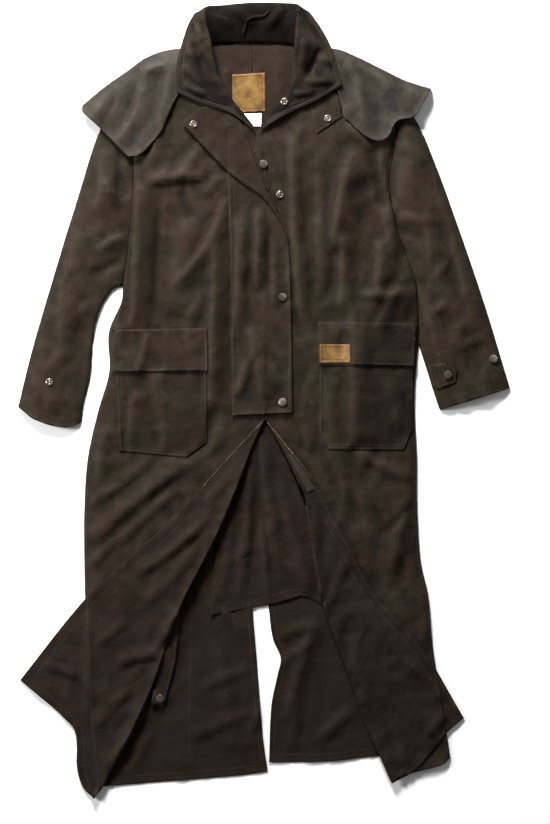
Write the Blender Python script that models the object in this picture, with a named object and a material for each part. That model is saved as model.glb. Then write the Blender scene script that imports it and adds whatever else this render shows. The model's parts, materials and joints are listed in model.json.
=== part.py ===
"""A long riding duster coat of waxed cotton, laid flat on its back, face up, with its skirt fronts folded back.

Lengths are in millimetres until a mesh is made, which is in metres. x runs across the coat to the wearer's
left, y runs up it to the collar, and z is the height above the surface that it lies on. Right and left are the
wearer's. Every panel is a sheet over one floor plan of the coat: the seams are lines of that plan, and a
height rule lifts each sheet to its place in the stack.
"""

import math
from collections import namedtuple

import bmesh
import bpy
import numpy as np
from mathutils import Vector
from mathutils.bvhtree import BVHTree
from mathutils.geometry import delaunay_2d_cdt

for leftover in list(bpy.data.objects):
    bpy.data.objects.remove(leftover, do_unlink=True)

# Cloth and seams
METRES = 0.001
CLOTH = 1.2
HALF = CLOTH / 2
COLLAR_CLOTH = 2.4
LABEL_THICK = 1.0
SEAM_GAP = 0.6
ON_SEAM = 0.05
LAY_GAP = 0.4

# Heights of the middle of a sheet above the surface
FLOOR_SHEET = HALF
PANEL_HEIGHT = 5.6
CLOSED_EDGE = FLOOR_SHEET + CLOTH + 0.3
CROWN_WIDTH = 22
CROWN_ROWS = (7, 22)
FOLD_FLANK = 0.62
FOLD_LIFT = 2.5
FOLD_LIFT_REACH = 35
ROLL = 5.0
ROLL_REACH = 24
ROLL_START = 70
LAPEL_ROLL = 2.4
LAPEL_ROLL_REACH = 16
LAPEL_ROLL_START = 90
CAPE_HEIGHT = 9.6
CAPE_CLEARANCE = CLOTH + 1.0
CAPE_STEP = CLOTH + 0.4
CAPE_RAMP = (3, 25)

# Mesh spacing, and the room that a point keeps as a share of it
FINE = 33
COARSE = 62
GUIDE_ROOM = 0.33
FILL_ROOM = 0.62

# Seams: each is a run of points (x, y), rounded between its two ends.
SEAMS = {
    "shoulder_right": ((-105, 625), (-170, 607), (-246, 563)),
    "armhole_right": ((-246, 563), (-236, 497), (-237, 387), (-242, 322), (-248, 257), (-255, 205)),
    "side_right": (
        (-255, 205), (-257, 178), (-280, 121), (-279, 52), (-300, -23), (-318, -106),
        (-324, -196), (-324, -295), (-320, -430), (-314, -556), (-303, -695),
    ),
    "hem_front_right": ((-303, -695), (-307, -717)),
    "fold_right": (
        (-307, -717), (-286, -691), (-201, -520), (-156, -389), (-76, -227), (1, -32),
    ),
    "front_edge": ((1, -32), (3, 182), (3, 374), (-19, 452)),
    "front_edge_top": ((-19, 452), (-14, 482)),
    "neck_right": ((-14, 482), (-33, 500), (-55, 527), (-73, 551), (-90, 580), (-99, 606), (-105, 625)),
    "shoulder_left": ((60, 625), (145, 607), (219, 567)),
    "armhole_left": ((219, 567), (235, 506), (233, 452), (225, 387), (238, 313), (251, 270), (273, 212)),
    "side_left_top": ((273, 212), (277, 155), (277, 103)),
    "side_left": (
        (277, 103), (270, 2), (274, -113), (274, -178), (280, -286), (294, -351),
        (303, -448), (318, -538), (334, -643),
    ),
    "hem_front_left": ((334, -643), (323, -655), (253, -675), (230, -689)),
    "fold_left": (
        (230, -689), (188, -603), (145, -479), (104, -364), (87, -281), (66, -166), (1, -32),
    ),
    "neck_left": ((60, 625), (61, 606), (58, 578), (51, 553), (34, 530), (13, 508), (-14, 482)),
    "flap_edge_right": ((1, -32), (-80, -119), (-156, -205), (-240, -281), (-323, -358), (-440, -504)),
    "flap_hem_right": ((-440, -504), (-345, -589), (-338, -622), (-338, -657), (-327, -697), (-307, -717)),
    "flap_edge_left": ((1, -32), (84, -139), (145, -247), (199, -347), (278, -437), (359, -572)),
    "flap_hem_left": ((359, -572), (328, -599), (273, -664), (230, -689)),
    "sleeve_outer_right": (
        (-246, 563), (-274, 527), (-302, 470), (-336, 362), (-364, 272), (-417, 92), (-443, -13),
    ),
    "cuff_right": ((-443, -13), (-410, -37), (-357, -50), (-330, -41)),
    "sleeve_inner_right": (
        (-330, -41), (-325, -7), (-312, 52), (-309, 101), (-298, 155), (-273, 198), (-255, 205),
    ),
    "sleeve_outer_left": (
        (219, 567), (253, 533), (280, 488), (303, 434), (330, 362), (392, 182), (441, 21),
    ),
    "cuff_left": ((441, 21), (381, 2), (316, -18)),
    "sleeve_inner_left": ((316, -18), (303, 20), (292, 56), (277, 103)),
    "back_neck_right": ((-105, 625), (-100, 640), (-90, 643), (-22, 644)),
    "back_neck_left": ((-22, 644), (45, 643), (55, 640), (60, 625)),
    "back_seam": ((-22, 644), (-21, 362), (-14, -70)),
    "vent_right": ((-14, -70), (-21, -214), (-21, -376), (-14, -466), (-3, -603), (6, -668)),
    "vent_left": ((-14, -70), (-3, -214), (8, -378), (15, -430), (29, -464), (24, -491), (12, -551), (8, -652)),
    "back_hem_right": ((6, -668), (-40, -675), (-289, -695), (-303, -695)),
    "back_hem_left": ((8, -652), (120, -650), (206, -641), (334, -643)),
    "cape_shoulder_right": ((-115, 632), (-166, 631), (-211, 617), (-248, 591), (-284, 566), (-328, 530)),
    "cape_tip_right": ((-328, 530), (-328, 518)),
    "cape_hem_right": ((-328, 518), (-314, 506), (-291, 484), (-244, 436)),
    "cape_front_hem_right": ((-244, 436), (-222, 441), (-206, 457), (-184, 484), (-170, 518), (-156, 547)),
    "cape_neck_right": ((-156, 547), (-134, 560), (-105, 580), (-110, 610), (-115, 632)),
    "cape_shoulder_left": ((70, 632), (127, 632), (165, 618), (216, 593), (255, 574), (300, 560)),
    "cape_hem_left": (
        (300, 560), (287, 538), (271, 509), (238, 500), (222, 472), (206, 464), (179, 475), (142, 510),
    ),
    "cape_neck_left": ((142, 510), (133, 550), (110, 570), (71, 578), (66, 608), (70, 632)),
    "cape_back_hem": (
        (-328, 518), (-306, 498), (-272, 465), (-206, 410), (-100, 385), (-10, 380), (90, 385),
        (185, 412), (250, 478), (282, 528), (300, 560),
    ),
    "cape_back_neck": ((70, 632), (50, 626), (-95, 626), (-115, 632)),
    "storm_seam": ((-66, 497), (-66, 407), (-62, 272), (-58, -28)),
    "storm_hem": ((-58, -28), (50, -23)),
    "storm_edge": ((50, -23), (48, 149), (44, 279)),
    "storm_fold": ((44, 279), (28, 328), (1, 382), (-24, 448), (-41, 498)),
    "storm_top": ((-41, 498), (-66, 497)),
    "lapel_edge": ((44, 279), (30, 317), (14, 342), (-3, 364), (-62, 407), (-148, 497)),
    "lapel_top": ((-148, 497), (-107, 527), (-80, 526), (-41, 498)),
}

# Panels: the seams that go round each one.
PANELS = {
    "front_right": (
        "shoulder_right", "armhole_right", "side_right", "hem_front_right", "fold_right",
        "front_edge", "front_edge_top", "neck_right",
    ),
    "front_left": (
        "shoulder_left", "armhole_left", "side_left_top", "side_left", "hem_front_left", "fold_left",
        "front_edge", "front_edge_top", "neck_left",
    ),
    "flap_right": ("fold_right", "flap_edge_right", "flap_hem_right"),
    "flap_left": ("fold_left", "flap_edge_left", "flap_hem_left"),
    "sleeve_right": ("armhole_right", "sleeve_inner_right", "cuff_right", "sleeve_outer_right"),
    "sleeve_left": ("armhole_left", "side_left_top", "sleeve_inner_left", "cuff_left", "sleeve_outer_left"),
    "back_right": (
        "shoulder_right", "armhole_right", "side_right", "back_hem_right", "vent_right",
        "back_seam", "back_neck_right",
    ),
    "back_left": (
        "shoulder_left", "armhole_left", "side_left_top", "side_left", "back_hem_left", "vent_left",
        "back_seam", "back_neck_left",
    ),
    "cape_front_right": (
        "cape_shoulder_right", "cape_tip_right", "cape_hem_right", "cape_front_hem_right", "cape_neck_right",
    ),
    "cape_front_left": ("cape_shoulder_left", "cape_hem_left", "cape_neck_left"),
    "cape_back": (
        "cape_shoulder_right", "cape_tip_right", "cape_back_hem", "cape_shoulder_left", "cape_back_neck",
    ),
    "storm_flap": ("storm_seam", "storm_hem", "storm_edge", "storm_fold", "storm_top"),
    "lapel": ("storm_fold", "lapel_edge", "lapel_top"),
}

# Patches: corners (x, y) of the straight-sided pieces.
PATCHES = {
    "pocket_right": ((-271, 122), (-105, 124), (-103, -76), (-140, -103), (-260, -92)),
    "pocket_flap_right": ((-274, 126), (-104, 129), (-102, 52), (-276, 50)),
    "pocket_left": ((99, 134), (269, 133), (266, -54), (251, -90), (115, -89), (99, -59)),
    "pocket_flap_left": ((97, 140), (273, 138), (269, 60), (97, 64)),
    "pocket_label": ((99, 100), (153, 100), (154, 67), (99, 67)),
    "throat_tab": ((82, 529), (94, 478), (140, 509), (131, 549), (104, 560)),
    "cuff_tab": ((299, 62), (332, 67), (346, 52), (343, 31), (310, 18)),
    "zip_upper": ((-15, 453), (-7, 456), (11, 383), (7, 376)),
    "zip_lower": ((42, -98), (48, -99), (78, -137), (91, -161), (78, -167), (66, -142)),
    "neck_label": ((-58, 585), (1, 589), (2, 519), (-40, 517), (-58, 538)),
    "care_label": ((-38, 515), (-5, 516), (-5, 491), (-27, 491)),
    "leg_strap": ((-177, -380), (-152, -391), (-159, -466), (-181, -553), (-204, -545), (-188, -466)),
    "fantail": (
        (-33, -63), (-62, -160), (-87, -265), (-98, -388), (-17, -373), (19, -367), (64, -353),
        (82, -355), (104, -369), (98, -286), (70, -178), (28, -63),
    ),
}

# Folds in the cloth: a soft ridge, or a trough where height is negative, from start to end. Bow is how far its
# middle stands to the left of the straight line, and half_width runs from its crest to where it has died out.
Fold = namedtuple("Fold", "x0 y0 x1 y1 bow half_width height")
FRONT_FOLDS = (
    # Right chest
    Fold(-201, 362, -202, 155, 6, 24, -2.2),
    Fold(-176, 378, -172, 150, 0, 26, 3.0),
    Fold(-167, 203, -119, 248, 4, 17, 2.6),
    Fold(-206, 398, -174, 356, 0, 15, 2.6),
    Fold(-222, 425, -229, 262, 0, 16, 2.6),
    Fold(-79, 388, -77, 137, -5, 20, -2.3),
    Fold(-80, 40, -76, -45, 0, 18, -2.2),
    # Storm flap, which follows the fronts below it
    Fold(-6, 335, -4, 182, 0, 15, -1.8),
    Fold(-32, 330, -34, 120, 0, 18, 2.2),
    Fold(24, 300, 30, 128, 3, 13, 1.6),
    # Left chest
    Fold(62, 477, 86, 144, -8, 18, -2.3),
    Fold(45, 434, 62, 182, -6, 16, 2.6),
    Fold(150, 452, 123, 268, 12, 18, -2.4),
    Fold(118, 452, 103, 299, 8, 19, 3.0),
    Fold(181, 434, 157, 250, 10, 19, 3.0),
    Fold(157, 236, 161, 149, 0, 16, -2.2),
    Fold(208, 182, 265, 189, 0, 28, -2.4),
    Fold(193, 250, 258, 272, 6, 19, 3.0),
    Fold(202, 459, 238, 313, -14, 14, -2.2),
    # Skirts
    Fold(-128, -126, -276, -218, -8, 20, 4.0),
    Fold(-206, -112, -276, -182, 6, 17, -2.4),
    Fold(-240, -247, -307, -270, 0, 16, -2.4),
    Fold(-300, -88, -305, -214, 0, 15, 2.8),
    Fold(177, -99, 269, -133, 4, 16, 3.0),
    Fold(220, -238, 274, -180, 0, 14, -2.4),
    Fold(145, -142, 208, -286, 6, 20, 3.0),
    Fold(250, -290, 262, -420, 0, 16, 3.0),
)
SLEEVE_FOLDS = (
    Fold(-287, 452, -303, 335, 4, 20, 4.0),
    Fold(-302, 239, -256, 225, 3, 15, -2.4),
    Fold(-310, 268, -260, 254, 3, 15, 3.0),
    Fold(-332, 290, -375, 74, -5, 22, 3.0),
    Fold(238, 313, 277, 310, 2, 12, -2.4),
    Fold(244, 335, 287, 331, 2, 13, 4.0),
    Fold(275, 212, 307, 169, 0, 14, -2.4),
    Fold(289, 221, 321, 175, 0, 14, 3.0),
    Fold(316, 344, 370, 92, 5, 22, 3.0),
)
FLAP_FOLDS = (
    Fold(-94, -205, -183, -283, 0, 16, 3.0),
    Fold(-247, -457, -246, -488, 0, 20, 3.5),
    Fold(-368, -430, -350, -538, 0, 16, 3.0),
    Fold(-206, -358, -278, -520, 8, 18, 3.0),
    Fold(154, -340, 199, -538, 6, 17, 3.0),
    Fold(244, -448, 280, -601, 5, 17, 3.0),
)
BACK_FOLDS = (
    Fold(105, -396, 41, -560, -4, 17, 3.2),
    Fold(64, -538, 118, -619, 0, 18, 2.8),
    Fold(-89, -430, -53, -628, 5, 18, 2.8),
    Fold(-206, -592, -242, -673, 0, 15, 2.2),
)
FANTAIL_FOLDS = (
    Fold(-5, -88, 46, -340, -4, 14, 3.4),
    Fold(-26, -88, -44, -358, 4, 14, 3.0),
    Fold(-58, -214, -71, -367, 0, 13, 2.6),
    Fold(19, -124, 78, -331, -4, 12, 3.4),
)
CAPE_FOLDS = (
    Fold(-206, 610, -260, 470, 8, 18, 3.6),
    Fold(-172, 600, -196, 497, 4, 15, 3.4),
    Fold(-278, 560, -303, 506, 0, 15, 2.8),
    Fold(163, 607, 215, 475, 5, 15, -1.8),
    Fold(193, 601, 253, 520, 0, 17, 3.6),
    Fold(158, 584, 180, 488, 4, 15, 3.4),
)

# Collar: sections from the right front end, round the back of the neck, to the left one. Each goes from the
# neck seam up to the roll and over to the free edge, with x, y and z for each of the three.
Section = namedtuple("Section", "seam roll edge")
COLLAR = (
    Section((-19, 489, 9.5), (-23, 495, 17), (-16, 483, 14.5)),
    Section((-39, 510, 9.5), (-40, 518, 18), (-39, 501, 14.5)),
    Section((-57, 533, 9.5), (-56, 538, 21), (-66, 518, 14.5)),
    Section((-73, 556, 9.5), (-68, 558, 24), (-107, 531, 14.5)),
    Section((-91, 585, 9.0), (-82, 583, 27), (-158, 553, 14.0)),
    Section((-100, 614, 8.0), (-89, 614, 28), (-158, 598, 13.5)),
    Section((-104, 635, 6.5), (-95, 646, 28), (-147, 644, 12.5)),
    Section((-103, 646, 4.5), (-105, 682, 26), (-133, 682, 9.0)),
    Section((-93, 648, 3.6), (-105, 705, 21), (-116, 698, 3.0)),
    Section((-66, 648, 3.4), (-73, 710, 17), (-77, 682, 1.6)),
    Section((-22, 649, 3.4), (-22, 715, 16), (-22, 668, 1.5)),
    Section((21, 648, 3.4), (28, 714, 17), (31, 682, 1.6)),
    Section((44, 648, 3.6), (60, 709, 21), (71, 701, 3.0)),
    Section((55, 645, 4.5), (58, 686, 26), (93, 680, 9.0)),
    Section((60, 632, 6.5), (54, 646, 28), (116, 641, 12.5)),
    Section((62, 610, 8.0), (52, 614, 28), (125, 610, 13.5)),
    Section((60, 581, 9.0), (50, 581, 27), (139, 566, 14.0)),
    Section((51, 553, 9.5), (43, 553, 24), (93, 538, 14.5)),
    Section((33, 529, 9.5), (26, 535, 21), (53, 520, 14.5)),
    Section((14, 509, 9.5), (10, 518, 18), (21, 503, 14.5)),
    Section((-6, 489, 9.5), (-5, 495, 17), (-9, 483, 14.5)),
)
COLLAR_STEPS = 2
ROLL_RADIUS = 6
COLLAR_TIPS = (4, 16)

# Snaps: what each one is pressed into, its place and its kind.
Snap = namedtuple("Snap", "name carrier x y kind")
SNAPS = (
    Snap("snap_neck", "collar", 36, 535, "ring"),
    Snap("snap_throat_tab", "throat_tab", 114, 506, "ring"),
    Snap("snap_lapel", "storm_flap", -127, 495, "ring"),
    Snap("snap_front_inner", "front_left", 28, 369, "ring"),
    Snap("snap_front_top", "zip_upper", -2, 424, "dome"),
    Snap("snap_storm_upper", "storm_flap", 32, 185, "dome"),
    Snap("snap_storm_lower", "storm_flap", 33, -4, "dome"),
    Snap("snap_cuff_right", "sleeve_right", -386, 32, "ring"),
    Snap("snap_cuff_left", "sleeve_left", 411, 74, "dome"),
    Snap("snap_cuff_tab", "cuff_tab_left", 329, 46, "dome"),
    Snap("snap_leg_strap", "leg_strap", -188, -536, "dome"),
)
# A snap's turned outline, from its axis to its rim: radius and height
SNAP_OUTLINES = {
    "dome": ((0, 3.2), (3.5, 2.9), (6.0, 1.8), (7.2, 0.6), (7.2, 0)),
    "ring": ((0, 0.8), (2.6, 0.8), (3.2, 2.2), (5.6, 2.2), (7.0, 0.9), (7.0, 0)),
}
SNAP_SIDES = 14
SNAP_LIFT = 0.35

LOOP_ROUTE = ((-38, 657), (-35, 669), (-30, 682), (-18, 687), (0, 690), (7, 697))
LOOP_WIDTH = 5
LOOP_THICK = 1.2

# Colours, roughness and metal of each finish
FINISHES = {
    "oilskin": ((0.070, 0.056, 0.044), 0.62, 0.0),
    "collar": ((0.060, 0.048, 0.038), 0.70, 0.0),
    "lining_side": ((0.052, 0.044, 0.036), 0.70, 0.0),
    "leather": ((0.55, 0.36, 0.17), 0.60, 0.0),
    "white_tape": ((0.80, 0.79, 0.76), 0.80, 0.0),
    "zip_tape": ((0.080, 0.068, 0.055), 0.80, 0.0),
    "snap_metal": ((0.46, 0.40, 0.34), 0.35, 0.9),
}


def rounded(points, step):
    """A smooth run through the points, as an array, with a point about every step."""
    points = np.array(points, float)
    if len(points) == 2:
        count = max(1, round(math.dist(*points) / step))
        return points[0] + np.linspace(0, 1, count + 1)[:, None] * (points[1] - points[0])
    padded = np.vstack([2 * points[0] - points[1], points, 2 * points[-1] - points[-2]])
    run = [points[:1]]
    for before, start, end, after in zip(padded, padded[1:], padded[2:], padded[3:]):
        count = max(1, round(math.dist(start, end) / step))
        t = (np.arange(count) + 1)[:, None] / count
        # Catmull-Rom, with its slopes cut to the length of this stretch so that it can't loop.
        reach = math.dist(start, end)
        slope_in = (end - before) / max(math.dist(end, before), 1e-9) * reach
        slope_out = (after - start) / max(math.dist(after, start), 1e-9) * reach
        run.append(
            (2 * t**3 - 3 * t**2 + 1) * start
            + (t**3 - 2 * t**2 + t) * slope_in
            + (3 * t**2 - 2 * t**3) * end
            + (t**3 - t**2) * slope_out
        )
    return np.vstack(run)


def loop_of(name, step):
    """The outline of a panel or patch, without its first point again at the end."""
    if name in PATCHES:
        corners = PATCHES[name]
        sides = [rounded(side, step) for side in zip(corners, corners[1:] + corners[:1])]
        return np.vstack([side[:-1] for side in sides])
    runs = [rounded(SEAMS[seam], step) for seam in PANELS[name]]
    if not np.allclose(runs[0][-1], runs[1][0]) and not np.allclose(runs[0][-1], runs[1][-1]):
        runs[0] = runs[0][::-1]
    loop = [runs[0]]
    for run in runs[1:]:
        loop.append(run if np.allclose(run[0], loop[-1][-1]) else run[::-1])
    return np.vstack([run[:-1] for run in loop])


def within(points, loop):
    """Which points lie inside the closed outline."""
    x, y = points[:, :1], points[:, 1:2]
    x0, y0 = loop[:, 0], loop[:, 1]
    x1, y1 = np.roll(x0, -1), np.roll(y0, -1)
    spans = (y0 > y) != (y1 > y)
    rise = np.where(y1 == y0, 1, y1 - y0)
    return (spans & (x < x0 + (y - y0) * (x1 - x0) / rise)).sum(axis=1) % 2 == 1


def distance(points, run):
    """How far each point is from the run of points."""
    start, along = run[:-1], run[1:] - run[:-1]
    length = np.maximum((along**2).sum(axis=1), 1e-9)
    offset = points[:, None] - start
    t = np.clip((offset * along).sum(axis=2) / length, 0, 1)
    return np.sqrt(((offset - t[..., None] * along) ** 2).sum(axis=2)).min(axis=1)


def nearest(points, seams):
    return np.min([distance(points, rounded(SEAMS[seam], FINE / 2)) for seam in seams], axis=0)


def shifted(run, by):
    """The run moved sideways, to its left where by is positive."""
    slope = np.gradient(run, axis=0)
    slope /= np.linalg.norm(slope, axis=1)[:, None]
    return run + by * np.column_stack([-slope[:, 1], slope[:, 0]])


def fold_route(fold, count=7):
    start, end = np.array([fold.x0, fold.y0]), np.array([fold.x1, fold.y1])
    t = np.linspace(0, 1, count)[:, None]
    left = np.array([start[1] - end[1], end[0] - start[0]]) / max(math.dist(start, end), 1e-9)
    return start + t * (end - start) + 4 * t * (1 - t) * fold.bow * left


def relief(points, folds):
    """How far the folds lift each point."""
    total = np.zeros(len(points))
    for fold in folds:
        route = fold_route(fold)
        away = distance(points, route) / fold.half_width
        across = np.where(away < 1, (1 + np.cos(math.pi * np.minimum(away, 1))) / 2, 0)
        span = route[-1] - route[0]
        along = np.clip((points - route[0]) @ span / (span @ span), 0, 1)
        total += fold.height * across * (1 - (2 * along - 1) ** 4)
    return total


def crown(away, width):
    """A quarter round, from 0 at a closed edge to 1 at the width."""
    t = np.clip(away / width, 0, 1)
    return np.sqrt(1 - (1 - t) ** 2)


def eased(t):
    t = np.clip(t, 0, 1)
    return t * t * (3 - 2 * t)


class Plan:
    """Triangles over the floor plan, with every outline on their edges, so stacked sheets are parallel."""

    def __init__(self, outlines, guides, spacing):
        self.loops = {name: loop_of(name, FINE) for name in outlines}
        runs = [np.vstack([loop, loop[:1]]) for loop in self.loops.values()]
        fixed = np.vstack(runs)
        lines = self.thinned(np.vstack(guides), fixed, FINE * GUIDE_ROOM)
        low, high = fixed.min(axis=0), fixed.max(axis=0)
        grid = [
            (x + (row % 2) * spacing / 2, y)
            for row, y in enumerate(np.arange(low[1], high[1], spacing * math.sqrt(0.75)))
            for x in np.arange(low[0], high[0], spacing)
        ]
        taken = np.vstack([fixed, lines])
        grid = self.thinned(np.array(grid), taken, spacing * FILL_ROOM, cull_each_other=False)
        points = [Vector(p) for p in np.vstack([fixed, lines, grid])]
        edges, first = [], 0
        for run in runs:
            edges += [(first + i, first + i + 1) for i in range(len(run) - 1)]
            first += len(run)
        made = delaunay_2d_cdt(points, edges, [], 0, 0.01, False)
        self.points = np.array([tuple(p) for p in made[0]])
        self.faces = np.array([f for f in made[2] if len(f) == 3])
        self.centres = self.points[self.faces].mean(axis=1)

    @staticmethod
    def thinned(points, others, room, cull_each_other=True):
        """The points that keep that much room from the others, and from each other."""
        kept = list(others)
        first = len(kept)
        for point in points:
            crowd = np.array(kept if cull_each_other else kept[:first])
            if ((crowd - point) ** 2).sum(axis=1).min() > room * room:
                kept.append(point)
        return np.array(kept[first:])

    def sheet(self, name, height, held=()):
        return Sheet(self, self.faces[within(self.centres, self.loops[name])], height, held)


class Sheet:
    """The middle surface of one panel: its plan points, lifted, and drawn in by half the seam gap."""

    def __init__(self, plan, faces, height, held):
        ids, flat = np.unique(faces, return_inverse=True)
        self.faces = flat.reshape(-1, 3)
        self.local = {int(i): n for n, i in enumerate(ids)}
        self.ids = ids
        plan_points = plan.points[ids]
        sides = np.vstack([self.faces[:, [0, 1]], self.faces[:, [1, 2]], self.faces[:, [2, 0]]])
        key = np.sort(sides, axis=1)
        _, index, count = np.unique(key, axis=0, return_inverse=True, return_counts=True)
        self.rim = sides[count[index.reshape(-1)] == 1]
        inward = np.zeros_like(plan_points)
        for a, b in self.rim:
            along = plan_points[b] - plan_points[a]
            left = np.array([-along[1], along[0]]) / np.linalg.norm(along)
            inward[a] += left
            inward[b] += left
        size = np.linalg.norm(inward, axis=1)
        self.inward = inward / np.maximum(size, 1e-9)[:, None]
        closed = nearest(plan_points, held) < ON_SEAM if held else np.zeros(len(ids), bool)
        self.closed = closed
        draw = np.where(closed, HALF + SEAM_GAP / 2, SEAM_GAP / 2) * (size > 1e-6)
        self.points = np.column_stack([plan_points + self.inward * draw[:, None], height(plan_points)])


def joined(lower, upper, rows=0):
    """Two sheets of one plan made one wall along their closed edges, with rounding rows between them."""
    points = [*lower.points, *upper.points]
    faces = [tuple(f) for f in lower.faces[:, ::-1]] + [tuple(f + len(lower.points)) for f in upper.faces]
    ladders = {}

    def ladder(spot):
        if spot not in ladders:
            top = upper.local[int(lower.ids[spot])]
            a, b = lower.points[spot], upper.points[top]
            steps = [spot]
            radius = (b[2] - a[2]) / 2
            for row in range(rows):
                turn = math.pi * (row + 1) / (rows + 1)
                out = np.append(-lower.inward[spot], 0) * radius * math.sin(turn)
                height = np.array([0, 0, radius * (1 - math.cos(turn))])
                steps.append(len(points))
                points.append(np.append(a[:2], a[2]) + out + height)
            steps.append(len(lower.points) + top)
            ladders[spot] = steps
        return ladders[spot]

    for a, b in lower.rim:
        if lower.closed[a] and lower.closed[b]:
            left, right = ladder(a), ladder(b)
            for n in range(rows + 1):
                faces.append((left[n], right[n], right[n + 1], left[n + 1]))
    return np.array(points), faces


def finish(name, finish_name):
    colour, roughness, metal = FINISHES[finish_name]
    material = bpy.data.materials.new(name)
    material.use_nodes = True
    shader = material.node_tree.nodes["Principled BSDF"]
    shader.inputs["Base Color"].default_value = (*colour, 1)
    shader.inputs["Roughness"].default_value = roughness
    shader.inputs["Metallic"].default_value = metal
    return material


def added(name, points, faces, finish_name, wall=None):
    """An object of these faces. With a wall, they are its middle surface."""
    mesh = bpy.data.meshes.new(name)
    corners = [tuple(float(c) * METRES for c in point) for point in points]
    mesh.from_pydata(corners, [], [tuple(map(int, face)) for face in faces])
    shape = bmesh.new()
    shape.from_mesh(mesh)
    bmesh.ops.recalc_face_normals(shape, faces=shape.faces[:])
    shape.to_mesh(mesh)
    shape.free()
    mesh.materials.append(finish(name, finish_name))
    piece = bpy.data.objects.new(name, mesh)
    bpy.context.scene.collection.objects.link(piece)
    if wall:
        solid = piece.modifiers.new("wall", "SOLIDIFY")
        solid.thickness = wall * METRES
        solid.offset = 0
    return piece


# Height rules
SKIRT_FOLDS = ("fold_right", "fold_left")
CLOSED_BODY = ("shoulder_right", "side_right", "shoulder_left", "side_left_top", "side_left")
CLOSED_SLEEVES = ("sleeve_outer_right", "sleeve_inner_right", "sleeve_outer_left", "sleeve_inner_left")
cape_back_loop = loop_of("cape_back", FINE)
cape_back_rim = np.vstack([cape_back_loop, cape_back_loop[:1]])
front_loops = [loop_of(name, FINE) for name in ("front_right", "front_left")]


def base(points):
    """What lies on the back of the cape is one cloth higher, and comes down beyond its hem."""
    away = np.where(within(points, cape_back_loop), 0, distance(points, cape_back_rim))
    near, far = CAPE_RAMP
    return CAPE_STEP * (1 - np.clip((away - near) / (far - near), 0, 1))


def lower_height(points):
    return FLOOR_SHEET + base(points)


def back_height(points):
    return lower_height(points) + relief(points, BACK_FOLDS)


def panel_height(points):
    """Fronts and upper sleeves: down to the back at closed edges, lifted near the folded skirt edges."""
    lift = FOLD_LIFT * np.exp(-nearest(points, SKIRT_FOLDS) / FOLD_LIFT_REACH)
    full = PANEL_HEIGHT + lift + relief(points, FRONT_FOLDS + SLEEVE_FOLDS)
    rise = crown(nearest(points, CLOSED_BODY + CLOSED_SLEEVES), CROWN_WIDTH)
    return base(points) + CLOSED_EDGE + np.maximum(full - CLOSED_EDGE, 0) * rise


def stacked(level):
    return lambda points: panel_height(points) + level * (CLOTH + LAY_GAP)


def flap_height(points):
    """The folded-back skirt: on its own front, rolled up at the fold, and down to the floor past the side."""
    ends = np.array([SEAMS["fold_right"][0], SEAMS["fold_right"][-1], SEAMS["fold_left"][0]])
    from_end = np.min([np.linalg.norm(points - end, axis=1) for end in ends], axis=0)
    roll = ROLL * np.exp(-nearest(points, SKIRT_FOLDS) / ROLL_REACH)
    roll *= eased(from_end / ROLL_START)
    past = ~(within(points, front_loops[0]) | within(points, front_loops[1]))
    away = np.where(past, nearest(points, CLOSED_BODY), 0)
    on_front = panel_height(points) + CLOTH + LAY_GAP
    at_side = CLOSED_EDGE + CLOTH + LAY_GAP
    on_floor = FLOOR_SHEET + (at_side - FLOOR_SHEET) * (1 - eased(away / CAPE_RAMP[1]))
    return np.where(past, on_floor, on_front) + roll + relief(points, FLAP_FOLDS)


def lapel_height(points):
    """The turned-back top of the storm flap, rolled up a little along its fold."""
    top = np.array(SEAMS["storm_fold"][-1])
    tip = np.array(SEAMS["storm_fold"][0])
    from_end = np.minimum(np.linalg.norm(points - top, axis=1), np.linalg.norm(points - tip, axis=1))
    roll = LAPEL_ROLL * np.exp(-nearest(points, ("storm_fold",)) / LAPEL_ROLL_REACH)
    return stacked(2)(points) + roll * eased(from_end / LAPEL_ROLL_START)


def cape_height(points):
    full = np.maximum(CAPE_HEIGHT + relief(points, CAPE_FOLDS), panel_height(points) + CAPE_CLEARANCE)
    rise = crown(nearest(points, ("cape_shoulder_right", "cape_shoulder_left")), CROWN_WIDTH)
    return CLOSED_EDGE + (full - CLOSED_EDGE) * rise


def fantail_height(points):
    return FLOOR_SHEET + CLOTH + LAY_GAP + relief(points, FANTAIL_FOLDS)


def on_back(thick):
    return lambda points: back_height(points) + HALF + LAY_GAP + thick / 2


# Guide lines give the folds, the crowns and the ramps their own points.
def guides_for(folds, closed, spacing):
    lines = []
    for fold in folds:
        route = rounded(fold_route(fold, 4), spacing)
        lines += [shifted(route, side * fold.half_width * FOLD_FLANK) for side in (1, 0, -1)]
    for seam in closed:
        run = rounded(SEAMS[seam], spacing)
        lines += [shifted(run, side * away) for away in CROWN_ROWS for side in (1, -1)]
    hem = rounded(SEAMS["cape_back_hem"], spacing)
    lines += [shifted(hem, -away) for away in CAPE_RAMP]
    for seam in SKIRT_FOLDS:
        run = rounded(SEAMS[seam], spacing)
        lines += [shifted(run, side * ROLL_REACH / 2) for side in (1, -1)]
    return lines


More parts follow.
